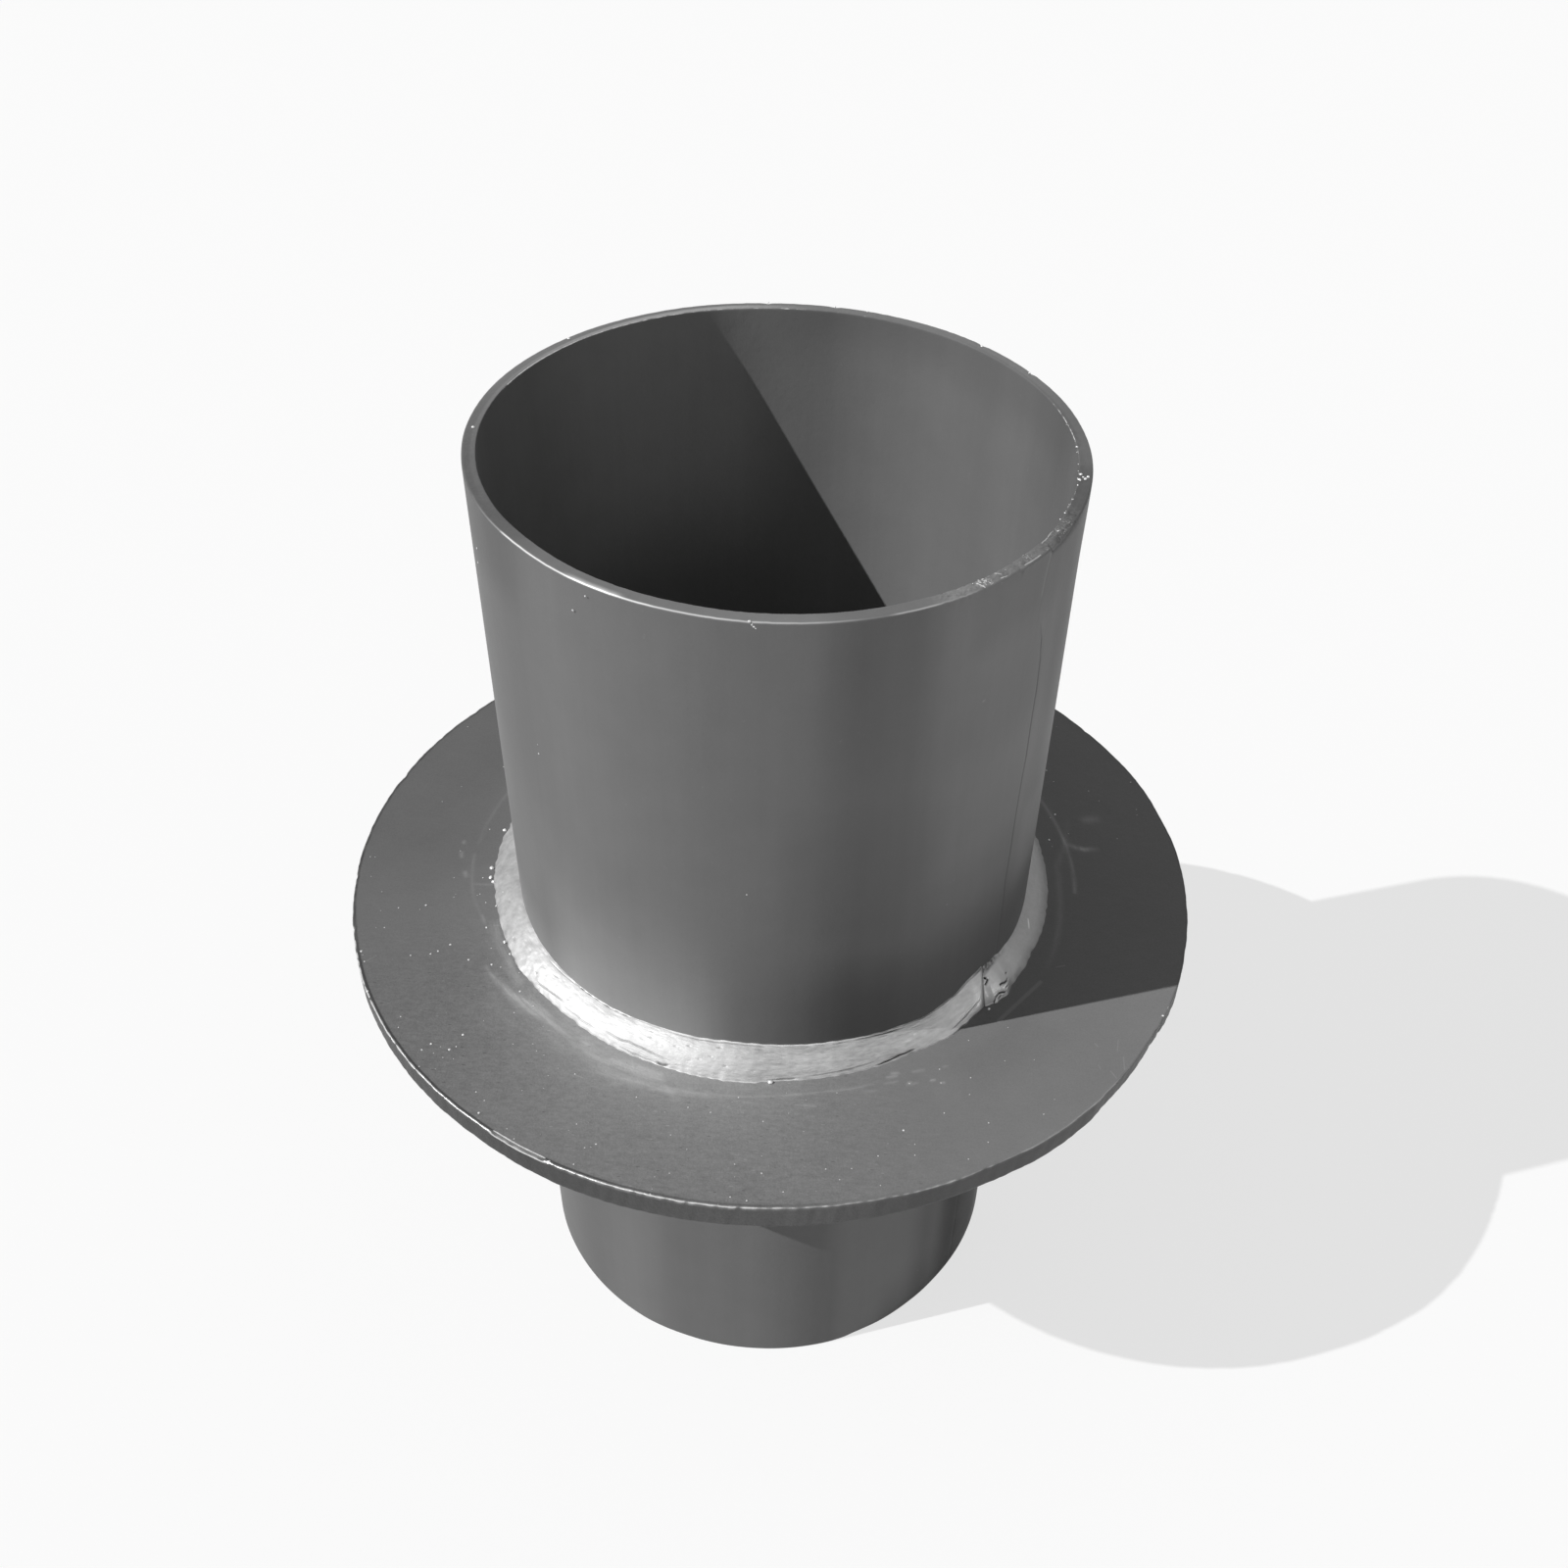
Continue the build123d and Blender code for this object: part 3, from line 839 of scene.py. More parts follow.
holes = [
    (0.32, 0.7, (-107.6, 0.08), (-106.6, 0.06), (-105.8, 0.1)),
    (0.3, 1.3, (-36.7, 0.71), (-36.4, 0.68)),
    (0.24, 1.2, (-37.2, 0.565), (-36.8, 0.59), (-36.2, 0.63)),
    (0.26, 0.8, (-31.0, 0.4), (-30.6, 0.4)),
    (0.24, 1.0, (-34.1, 0.33), (-33.4, 0.325), (-32.5, 0.27), (-31.7, 0.25), (-31.3, 0.27)),
    (0.22, 0.7, (-32.9, 0.17), (-32.2, 0.15)),
    (0.22, 0.9, (-37.0, 0.04), (-36.8, 0.08), (-36.3, 0.14), (-35.2, 0.165), (-34.4, 0.14),
     (-33.7, 0.1)),
    (0.22, 0.7, (-35.5, 0.05), (-34.8, 0.09)), (0.15, 0.5, (-111.0, 0.8), (-110.7, 0.8)),
    (0.15, 0.5, (-110.8, 0.64), (-110.5, 0.645)), (0.14, 0.5, (-105.4, 0.62), (-105.0, 0.62)),
    (0.14, 0.5, (-102.8, 0.71), (-102.4, 0.71)), (0.14, 0.4, (-112.4, 0.54), (-112.0, 0.54)),
    (0.13, 0.35, (-131.1, 0.43), (-130.9, 0.43)), (0.13, 0.3, (-129.8, 0.33), (-129.6, 0.33)),
    (0.16, 0.3, (-137.6, 0.7), (-136.2, 0.73)), (0.13, 0.5, (-98.0, 0.55), (-97.8, 0.56)),
    (0.13, 0.5, (-95.2, 0.38), (-94.8, 0.37)), (0.13, 0.5, (-92.7, 0.62), (-92.5, 0.62)),
    (0.13, 0.5, (-100.2, 0.45), (-99.9, 0.44)), (0.13, 0.45, (-89.8, 0.3), (-89.4, 0.31)),
    (0.13, 0.5, (-96.8, 0.8), (-96.4, 0.8)), (0.5, 0.35, (-152.4, 0.3), (-151.6, 0.3)),
    (0.5, 0.3, (-162.4, 0.55), (-161.8, 0.55)), (0.6, 0.9, (52, 0.4), (52.6, 0.4)),
    (0.5, 0.7, (141, 0.5), (141.6, 0.51))]
crusts = [
    (0.24, 1.0, (-36.3, 0.66), (-35.9, 0.655)), (0.2, 0.9, (-37.6, 0.6), (-37.2, 0.62)),
    (0.32, 1.0, (-33.9, 0.23), (-32.9, 0.21), (-31.9, 0.19)),
    (0.36, 0.9, (-36.6, 0.04), (-36.0, 0.06)), (0.3, 0.9, (-35.0, 0.11), (-34.4, 0.09)),
    (0.26, 0.8, (-33.2, 0.12), (-32.5, 0.13)), (0.2, 1.0, (-101, 0.965), (-80, 0.96), (-60, 0.955)),
    (0.22, 0.8, (-130, 0.975), (-116, 0.975)), (0.28, 0.5, (-113, 0.025), (-90, 0.03), (-72, 0.03)),
    (0.34, 0.7, (-14.0, 0.71), (-16.4, 0.54)), (0.4, 0.5, (-57, 0.55), (-56.3, 0.56)),
    (0.5, 0.3, (-60, 0.45), (-57.6, 0.42)), (0.35, 0.5, (-52, 0.05), (-50, 0.05))]
cut_in = drawn(on_bead, laps) + drawn(on_bead, holes, blunt=True)
crust = drawn(on_bead, crusts)
print("laps:", len(laps), "holes:", len(holes), "crusts:", len(crusts))

# %% [markdown]
# The final lump rises towards the front right, rounds over and drops at one slanting line. Right of
# the line the bead is hollow beside the pipe, and crumbly at its upper toe.

# %% The lump where the bead ends
drop_line = -39.1 + 3.4 * across - 3.2 * across * (1 - across)
past = off_by(turn, 0) - drop_line
before_line, after_line = np.clip(-past, 0, None), np.clip(past, 0, None)
round_end = np.sqrt(np.clip(1 - (1 - np.clip(before_line / 1.8, 0, 1)) ** 2, 0, 1))
lump = (past < 0) * round_end * 1.05 * np.exp(-before_line / 8)
beside_pipe = np.clip((across - 0.73 - 0.010 * after_line) / 0.08, 0, 1)
hollow = 0.30 * np.exp(-after_line / 5.5) + 0.70 * beside_pipe * np.exp(-(after_line / 8.5) ** 2)
crumbly = (past >= 0) * beside_pipe * np.exp(-(after_line / 9.5) ** 2)
slit = 0.60 * np.exp(-((past - 0.12) / 0.17) ** 2)
relief = bulge + ripples + rough + lump + crust * 0.16 + crumbly * pitted * 0.25
relief = hold * (relief - (past >= 0) * hollow - cut_in - slit)
bead_face = bead_face + bead_out * relief[..., None]
print("relief from", relief.min().round(2), "to", relief.max().round(2), "mm")

# %% [markdown]
# The bead is closed with three hidden points inside pipe and plate, which makes it solid. One mark
# darkens it: dirt settles in whatever is cut deep, the crumbly hollow beside the pipe is darkened
# too, and the lump's end, which faces away from the light, gets painted shade.

# %% Close the bead behind its face
def behind(plate_end, pipe_end, heel_r, heel_z):
    """Three points inside plate and pipe, from the plate's end of a face round to the pipe's end."""
    below = np.stack(np.broadcast_arrays(plate_end[:, 0], heel_z), axis=-1)
    heel = np.full_like(below, (heel_r, heel_z))
    inside = np.stack(np.broadcast_arrays(heel_r, pipe_end[:, 1]), axis=-1)
    return np.stack([below, heel, inside], axis=1)


heel = behind(bead_face[:, 0], bead_face[:, -1], pipe_radius - HEEL, plate_face - HEEL)
bead = np.concatenate([bead_face, heel[:, ::-1]], axis=1)
# painted shade on the lump's end, which faces away from the light
painted_end_shade = (past < 0) * np.exp(-(before_line / 1.3) ** 2)
dirt_and_shade_depth = cut_in + slit * 1.1 + painted_end_shade * 0.50 + crumbly * (0.55 + 0.30 * pitted + 0.20 * coarse)
unmarked = np.zeros((len(bead_angles), 3))
dirt = np.concatenate([np.clip(dirt_and_shade_depth, 0, 1) * np.clip(hold * 2, 0, 1), unmarked], axis=1)
pale_crust = np.concatenate([np.clip(crust, 0, 1), unmarked], axis=1)
bead_piece = ring_mesh("upper_bead", bead_angles, bead[..., 0], bead[..., 1],
                       {"dirt": dirt, "crust": pale_crust})

# %% [markdown]
# ## Lower weld
#
# The weld under the plate can't be seen in the photograph. It is the same fillet turned over, and it
# is made the same way with other seeds, plain, with no laps or pores of its own. It starts at the
# pipe and ends at the plate, so that its face looks down and out.

# %% The lower bead
under_angles = np.arange(0, 360, 0.4)
under_toe = lower_toe_radius - 0.5 + wander(under_angles, 31, 3, 14, 0.25)
under_toe = under_toe + wander(under_angles, 32, 24, 120, 0.18)
under_pipe_toe = lower_weld_foot + 0.5 + wander(under_angles, 33, 3, 14, 0.25)
under_pipe_toe = under_pipe_toe + wander(under_angles, 34, 24, 120, 0.15)
under_across = closer_at_ends(22)
under_face, under_out = flat_face(pipe_radius - SUNK, under_pipe_toe - SUNK,
                                  under_toe + SUNK, plate_under + SUNK, under_across)
swell = 4 * under_across * (1 - under_across) * (0.9 + wander(under_angles, 35, 2, 12, 0.12))[:, None]
steps = 0.06 * np.sin(2 * np.pi * (under_angles[:, None] * 1.05 + 4 * (under_across - 0.5) ** 2))
mottle = crumble(under_angles, under_face[..., 0], under_face[..., 1], size=2.6, seed=12) * 0.16
soft_ends = np.clip(np.minimum(under_across, 1 - under_across) / 0.08, 0, 1)
under_face = under_face + under_out * (soft_ends * (swell + steps + mottle))[..., None]
heel = behind(under_face[:, -1], under_face[:, 0], pipe_radius - HEEL, plate_under + HEEL)
under = np.concatenate([under_face, heel], axis=1)
unmarked = np.zeros(under.shape[:2])
under_piece = ring_mesh("lower_bead", under_angles, under[..., 0], under[..., 1],
                        {"dirt": unmarked, "crust": unmarked})

# %% [markdown]
# ## Spatter, burrs and nibs
#
# Hot drops that flew off the arc sit frozen beside the weld, burrs stick up from the rim, and grains
# of dust dried into the primer. A row of spheres would look like pearls. Each blob is an icosphere
# pushed about by noise, flattened onto what carries it and sunk a little way in. The ones that the
# photograph shows stand where it shows them, and a seeded draw scatters more between them and out of
# its sight.

# %% Small blobs
def on_ring(angle, radius, height):
    turn = math.radians(angle)
    return Vector((radius * math.cos(turn), radius * math.sin(turn), height))


def blobs(name, spots, flat, detail, seed):
    """One mesh of blobs. A spot is (place in mm, outward direction, size in mm)."""
    shape = bmesh.new()
    for count, (place, out, size) in enumerate(spots):
        made = bmesh.ops.create_icosphere(shape, subdivisions=detail, radius=1.0)["verts"]
        lean = out.to_track_quat("Z", "Y").to_matrix()
        for corner in made:
            bent = corner.co * (1 + 0.42 * noise.noise(corner.co * 1.3 + Vector((count * 3.7, seed, 0))))
            bent.z = bent.z * flat + 0.15
            corner.co = (place + lean @ bent * size) * MM
    mesh = bpy.data.meshes.new(name)
    shape.to_mesh(mesh)
    shape.free()
    mesh.shade_smooth()
    piece = bpy.data.objects.new(name, mesh)
    bpy.context.scene.collection.objects.link(piece)
    print(name, "has", len(spots), "blobs,", len(mesh.polygons), "triangles")
    return piece


# %% [markdown]
# Drops of weld lie close to the bead, most of them at the left, and two stick to the bead itself.
# A few are scattered round the back and under the plate.

# %% Drops beside the weld
UP = Vector((0, 0, 1))
draw = np.random.default_rng(77)


def scatter(count, angles, radii, sizes, height, out=UP):
    """That many seeded spots on a flat face, each range from its lowest to its highest."""
    return [(on_ring(draw.uniform(*angles), draw.uniform(*radii), height), out, draw.uniform(*sizes))
            for _ in range(count)]


drops = [  # (angle, radius, size)
    (173.7, 122.4, 0.8), (-174.7, 122.8, 0.95), (-171.9, 122.8, 0.8), (-170.6, 121.6, 0.75),
    (-163.5, 120.6, 0.6), (-153, 121.2, 0.85), (-149.5, 121.4, 0.5), (-39.0, 119.7, 0.5),
    (-158, 126.5, 0.4), (22, 123.5, 0.7), (58, 125.0, 0.6), (61, 123.2, 0.9), (97, 124.0, 0.7),
    (121, 123.5, 0.8), (134, 127.5, 0.5)]
spatter = [(on_ring(a, r, plate_face), UP, s) for a, r, s in drops]
spatter += [(on_ring(a, 117.2, 217.6), Vector((1, 0, 1)), 0.5) for a in (-166, -141)]
spatter += scatter(14, (0, 160), (124, 150), (0.2, 0.45), plate_face)
spatter += scatter(10, (0, 360), (122, 140), (0.25, 0.6), plate_under, -UP)
spatter_piece = blobs("weld_spatter", spatter, flat=0.75, detail=3, seed=3)

# %% [markdown]
# Burrs stand where the pipe's rim is torn or nicked and along the plate's lip. They are bare steel,
# like the crumbs of metal that lie in the torn stretch. One larger drop lies at the front of the bead.

# %% Burrs on the rims
rim_spots = [  # (angle, radius, size)
    (-5.3, 105.7, 0.62), (-7.4, 105.4, 0.66), (-6.8, 107.4, 0.6), (-5.9, 108.2, 0.55),
    (-6.2, 106.6, 0.4), (-22.4, 104.8, 0.32), (-19.9, 104.9, 0.32), (-26.2, 106.9, 0.3),
    (-9.3, 105.2, 0.3), (-14.7, 105.2, 0.28), (-178, 107.0, 0.6), (142, 108.6, 0.6),
    (49, 108.9, 0.55), (35, 109.1, 0.5), (97, 109.1, 0.45), (83, 109.0, 0.4), (76, 109.0, 0.4),
    (5, 105.2, 0.45)]
rim_burrs = [(on_ring(a, r, pipe_top), UP, s) for a, r, s in rim_spots]
rim_burrs += scatter(9, (-56, -32), (104.9, 107), (0.10, 0.2), pipe_top - 0.15)
for _ in range(12):
    place = on_ring(draw.uniform(-20, 14), 104.75, pipe_top - 0.05)
    rim_burrs.append((place, UP, draw.uniform(0.12, 0.25)))
rim_burrs.append((on_ring(-90.3, 109.2, pipe_top - 0.2), UP, 0.45))
rim_burrs.append((on_ring(-86.3, 121.4, plate_face + 0.4), Vector((0.2, -0.6, 1)), 0.95))
lip_spots = [(-151, 0.55), (-129.5, 0.5), (-113, 0.85), (-142, 0.4), (-100, 0.45), (-92, 0.35),
             (-24, 0.5), (-165, 0.4)]
rim_burrs += [(on_ring(a, plate_radius - 0.4, plate_face - 0.1), UP, s) for a, s in lip_spots]
burr_piece = blobs("rim_burrs", rim_burrs, flat=0.6, detail=2, seed=5)

# %% [markdown]
# Dust dried into the primer is scattered over the plate and sparse on the pipe. The plate's list
# starts with the largest grains, and their size falls along it.

# %% Nibs in the primer
plate_nibs = [  # (angle, radius)
    (-158.4, 177.6), (-137, 156.4), (-135.8, 164.5), (-124.7, 176), (-151.2, 137.7), (-165.9, 149.6),
    (-138.2, 168.6), (-148.4, 130.2), (-155.8, 142.5), (-139.7, 126.7), (-155, 148), (-66.8, 152.5),
    (-154.8, 151.2), (-88.7, 177), (-138, 172.9), (-109.2, 164.9), (-156.4, 177.2), (-136, 134.5),
    (-87.1, 164.5), (-155.5, 159), (-55.4, 162.8), (-90.7, 175.7), (-166, 161), (-71.6, 161.2),
    (-92.5, 131.9), (-143.2, 175.2), (-118.8, 140.2), (-136.6, 170.1), (-84.4, 172.8),
    (-144.1, 122.1), (-62.2, 132.4), (-135.2, 126.7), (-57.4, 137.4), (-118.6, 177.3), (-137, 166.4),
    (-48.4, 171.3), (-127.5, 169.8), (-135.8, 177.9), (-144.8, 172.2), (-91.6, 129.4), (-90.7, 160.9),
    (-95.6, 138), (-60, 150.8), (-78.8, 163.6), (-110.2, 176.4), (-135.7, 161.7), (174, 129),
    (-172, 126.1)]
nibs = [(on_ring(a, r, plate_face), UP, 0.52 - 0.26 * min(rank, 24) / 24)
        for rank, (a, r) in enumerate(plate_nibs)]
nibs += scatter(70, (-180, -40), (124, 178), (0.12, 0.26), plate_face)
nibs += scatter(40, (10, 175), (124, 178), (0.15, 0.32), plate_face)
pipe_nibs = [  # (angle, height)
    (-136, 339), (-136, 334.9), (-91, 304.3), (-155, 398.6), (-156, 391.9), (-119, 416.0),
    (-122, 408.4), (-89.9, 418.8), (-89.6, 418.2), (-89.3, 417.6), (-132.2, 65.4), (-121.4, 82.5),
    (-128.6, 25.1)]
pipe_nibs += [(draw.uniform(0, 150), draw.uniform(20, 190)) for _ in range(10)]
pipe_nibs += [(draw.uniform(0, 150), draw.uniform(235, 410)) for _ in range(14)]
nibs += [(on_ring(a, pipe_radius, z), on_ring(a, 1, 0), draw.uniform(0.25, 0.4)) for a, z in pipe_nibs]
nib_piece = blobs("paint_nibs", nibs, flat=0.5, detail=2, seed=7)

# %% [markdown]
# ## Finishes
#
# A finish here is one Principled shader whose colour, roughness, metal and bump change over the
# surface. The pieces have no unwrapped picture to paint on, and a picture would blur close up, so
# everything comes from each point's own place: its radius, height and angle round the axis say
# whether it is rim, bore, wall or face, and noise of a known size in mm does the rest.

# %% What every finish starts from
def new_finish(name):
    material = bpy.data.materials.new(name)
    material.use_nodes = True
    return material, Wire(material.node_tree)


def join_up(material, plain, varied):
    """Plain numbers go on the shader's own sockets, and what varies is linked."""
    shader = material.node_tree.nodes["Principled BSDF"]
    for name, value in plain.items():
        shader.inputs[name].default_value = value
    for name, wire in varied.items():
        material.node_tree.links.new(wire.socket, shader.inputs[name])
    print(material.name, "uses", len(material.node_tree.nodes), "nodes")


class Place:
    """Where a point of the piece is, in mm and degrees."""

    def __init__(self, start):
        metres = start.node("ShaderNodeTexCoord", output="Object")
        self.point = start.node("ShaderNodeVectorMath", {"operation": "SCALE"}, {0: metres, "Scale": 1 / MM})
        self.x = start.node("ShaderNodeSeparateXYZ", sockets={0: self.point}, output="X")
        self.y, self.z = self.x.output("Y"), self.x.output("Z")
        self.radius = (self.x * self.x + self.y * self.y) ** 0.5

    def facing(self, angle, full, none):
        """1 within full degrees of that angle, down to 0 at none degrees away."""
        turn = math.radians(angle)
        cosine = (self.x * math.cos(turn) + self.y * math.sin(turn)) / self.radius
        return cosine.rise(math.cos(math.radians(none)), math.cos(math.radians(full)))

    def squeezed(self, factors):
        """The place with x, y and z multiplied, so that noise there is drawn out where a factor is small."""
        sockets = {0: self.point, 1: factors}
        return self.point.node("ShaderNodeVectorMath", {"operation": "MULTIPLY"}, sockets)

    def cloud(self, size, detail=2.0, squeeze=None, roughness=0.5):
        """Noise round 0, mostly from -1 to 1, in lumps of that many mm."""
        point = self.point
        if squeeze:
            point = self.squeezed(squeeze)
        lumps = {"Vector": point, "Scale": 1 / size, "Detail": detail, "Roughness": roughness}
        return (point.node("ShaderNodeTexNoise", sockets=lumps) - 0.5) * 4

    def wisps(self, size, drawn_out=7.0, detail=3.0):
        """Noise round 0 that is drawn out round the axis. Its fourth dimension is the radius, so it has
        no seam."""
        squeeze = (1 / drawn_out, 1 / drawn_out, 1)
        point = self.squeezed(squeeze)
        streaks = {"Vector": point, "W": self.radius, "Scale": 1 / size, "Detail": detail}
        return (point.node("ShaderNodeTexNoise", {"noise_dimensions": "4D"}, streaks) - 0.5) * 4

    def mark(self, name):
        return self.point.node("ShaderNodeAttribute", {"attribute_name": name}, output="Fac")

    def dots(self, size, reach, squeeze=(1, 1, 1)):
        """Sparse dots: 1 within reach mm of a seeded point, of which there is one for each size mm."""
        point = self.squeezed(squeeze)
        cells = point.node("ShaderNodeTexVoronoi", sockets={"Vector": point, "Scale": 1 / size})
        return (cells * size).rise(reach, reach * 0.5)

    def scratch(self, start, end, width):
        """A straight mark on a flat face between two (angle, radius) places."""
        (x0, y0, _), (x1, y1, _) = on_ring(*start, 0), on_ring(*end, 0)
        span = (x1 - x0, y1 - y0)
        dx, dy = self.x - x0, self.y - y0
        share = ((dx * span[0] + dy * span[1]) / (span[0] ** 2 + span[1] ** 2)).most(0).least(1)
        ax, ay = dx - share * span[0], dy - share * span[1]
        return ((ax * ax + ay * ay) ** 0.5).rise(width, width * 0.3)


def blend(share, first, second):
    """A colour mix. first and second are greys or colours, or wires that carry them."""
    ends = [(v, v, v, 1) if isinstance(v, float) else v for v in (first, second)]
    return share.node("ShaderNodeMix", {"data_type": "RGBA"}, {0: share, 6: ends[0], 7: ends[1]}, output=2)


def bump(height, depth=1.0):
    """Height in mm to a normal."""
    sockets = {"Height": height, "Strength": depth, "Distance": MM}
    return height.node("ShaderNodeBump", sockets=sockets, output="Normal")


print("finish helpers ready")

# %% [markdown]
# ### Primer on the pipe
#
# The outside has one coat of grey primer with a dull sheen. Up close it has clouds where the coat is
# thicker, faint streaks along the pipe, and orange peel. Tables of soft patches paint shade into the
# colour, darker or, with a minus, lighter, above the plate and below it, where the light falls
# unevenly round the pipe. Painted light from the bright weld makes the foot of the upper wall paler
# at the left, and painted light bounced off the lit inside wall makes the inside paler near the top
# at the back. The seam shows as a dark hairline beside a slightly paler strip, and is rubbed pale for
# its last few centimetres under the rim. On the rims the marks from the mesh are broken up with
# noise, so that bare steel ends in a ragged line, and the torn stretch is covered in fine scribbles.
# A painted glare lies on the rim's face at the front left, and a painted highlight along its outer
# edge.

# %% Pipe finish
def patches(at, table):
    """The sum of soft patches. Each is (strength, the angle it faces, degrees to its full and to its
    faded edge), then pairs of heights between which it rises, or falls if the first is the larger."""
    total = 0
    for strength, angle, full, none, *heights in table:
        patch = at.facing(angle, full, none)
        for low, high in heights:
            patch = patch * at.z.rise(low, high)
        total = patch * strength + total
    return total


pipe_finish, start = new_finish("pipe primer")
at = Place(start)
broad, patchy = at.cloud(70, 3), at.cloud(16, 3)
streaky = at.cloud(5, 3, squeeze=(1, 1, 0.04))
grain, peel = at.cloud(0.8, 2), at.cloud(2.2, 2)
in_bore = at.radius.rise(107.2, 106.2)
outside = 1 - in_bore
above, below = at.z.rise(215, 216), at.z.rise(206, 205)

from_seam = at.mark("seam")
shown = at.z.rise(240, 275) * at.z.rise(392, 380)
bright_end = at.z.rise(400, 404)
hairline = abs(from_seam).rise(0.42, 0.10) * outside
strip = from_seam.rise(0.1, 0.7) * from_seam.rise(3.6, 1.2) * at.z.rise(250, 300) * outside

# painted shade: soft patches, darker or with a minus lighter, where light falls unevenly round the pipe
painted_shade_above = [
    (0.19, -162, 16, 36, (270, 340)), (0.13, -156, 10, 24, (385, 405)), (0.16, -5, 12, 42, (320, 405)),
    (0.10, -5, 12, 42), (0.18, -13, 6, 14, (305, 350)), (0.10, -37, 8, 16, (388, 405)),
    (-0.09, -40, 10, 20, (286, 308), (362, 336)), (-0.17, -18, 5, 12, (250, 268), (308, 292)),
    (0.15, -68, 4, 13, (325, 400)), (0.04, -68, 4, 13),
    (0.08, -70, 10, 20, (270, 286), (350, 325)), (0.30, -42, 28, 52, (285, 242))]
painted_shade_below = [
    (0.27, -155, 8, 34), (0.11, -121, 10, 24), (0.09, -103, 4, 13), (-0.34, -59, 6, 16),
    (0.70, -26, 5, 15), (0.22, -48, 4, 12, (45, 5))]
# painted light: the bright weld's light thrown back onto the foot of the upper wall at the left
painted_weld_bounce = at.z.rise(315, 222) ** 1.7 * at.facing(-117, 10, 25) * 0.62
painted_weld_bounce = painted_weld_bounce + at.z.rise(250, 222) * at.facing(-150, 12, 30) * 0.15

tone = 0.204 + broad * 0.006 + patchy * 0.005 + streaky * 0.004 + grain * 0.003
tone = tone * (1 - hairline * (shown * 0.30 - bright_end * 0.25))
tone = tone * (1 + strip * 0.05 + painted_weld_bounce * above)
tone = tone * (1 - patches(at, painted_shade_above) * above - patches(at, painted_shade_below) * below * outside)
# painted light: light bounced off the lit inside wall, painted onto the inside at the back near the top
painted_bore_bounce = in_bore * at.facing(150, 42, 66) * at.z.rise(290, 360)
tone = tone * (1 + painted_bore_bounce * (at.facing(108, 5, 52) * 0.60 + 0.24))
# lighter on the inside back wall below the rim, and darker just under the rim further right
back_wall = at.facing(71, 3, 28) * at.z.rise(418, 396) * 0.16
back_wall = back_wall - at.facing(30, 12, 26) * at.z.rise(392, 412) * 0.11
tone = tone * (1 + in_bore * back_wall)

on_rim = at.z.rise(419.3, 419.7)
rough_rim = at.mark("torn") + on_rim * at.facing(-165, 14, 32) * 0.35
mottle = rough_rim * (at.cloud(3.2, 3) * 0.5 + at.cloud(1.0, 2) * 0.5)
# painted highlight: a glare on the rim's face at the front left, where the lamp glints
painted_rim_glare = at.facing(-118, 1.5, 7) * at.radius.rise(106.4, 109.2) * on_rim
tone = tone + mottle * 0.05 + at.mark("torn") * 0.015 + painted_rim_glare * 0.5
tone = tone + on_rim * at.facing(-72, 12, 30) * 0.02
scribble = abs(at.cloud(1.7, 2)).rise(0.15, 0.07)
scribble = scribble * (at.mark("scored") + at.cloud(3, 2) * 0.3).rise(0.2, 0.9)
rim_scratches = [  # (one end, other end, width), an end is (angle, radius)
    ((-49.6, 106.2), (-49.2, 109.2), 0.34), ((-45.5, 104.9), (-43.2, 104.75), 0.26),
    ((-42.6, 104.8), (-40.2, 104.8), 0.28), ((-44.9, 104.95), (-44.3, 107.2), 0.24),
    ((-45.2, 108.7), (-43.8, 108.9), 0.26), ((-39.2, 108.9), (-37.4, 109.2), 0.32),
    ((-37.3, 109.2), (-34.9, 109.2), 0.28), ((-31.3, 105.7), (-29.0, 105.4), 0.26),
    ((-28.7, 105.4), (-26.4, 105.2), 0.24)]
for first, last, width in rim_scratches:
    scribble = scribble.most(at.scratch(first, last, width) * at.z.rise(418.7, 419.3))
# the line mark adds a painted highlight along the rim's outer edge
tone = tone + at.mark("line") * 0.75 + scribble * (0.15 + at.facing(-48, 1.5, 4) * 0.40)

bare = (at.mark("wear") + at.cloud(2.4, 2) * 0.10 + grain * 0.05).rise(0.46, 0.56)
bare = bare.most(scribble * 0.45)
steel = 0.60 + at.cloud(1.1, 2) * 0.06
sheen = 0.50 + patchy * 0.03 + grain * 0.03 - bare * 0.18 + in_bore * 0.06
skin = peel * 0.012 + grain * 0.006 + patchy * 0.03 - hairline * shown * 0.06 + mottle * 0.10
join_up(pipe_finish, {"Specular IOR Level": 0.05, "Diffuse Roughness": 0.3},
        {"Base Color": blend(bare, tone, steel), "Roughness": sheen, "Metallic": bare * 0.6,
         "Normal": bump(skin)})

# %% [markdown]
# ### Primer on the plate
#
# The same primer lies on a rougher face. Mill scale and grit under it show as fine grain, strongest
# at the front left, with light and dark flecks along the way the steel was rolled. The brush's
# strokes and its glow are marks on the mesh, and the glow is partly painted light from the weld.
# Here they are broken up into streaks that run round the axis, as a brush leaves them, since even
# grey would look like a painted stripe. A few light scratches and scrapes cross the face. Painted
# shade darkens the face towards the back and the left, and in a band at the front right beside the
# pipe's shadow, and painted light makes the front a little paler. The cut edge is darker, because
# the coat there is thin over scale, and darker still at the left, where it faces the lamp: that
# part is painted shade. The thin dark line inside the lip is a painted shadow.

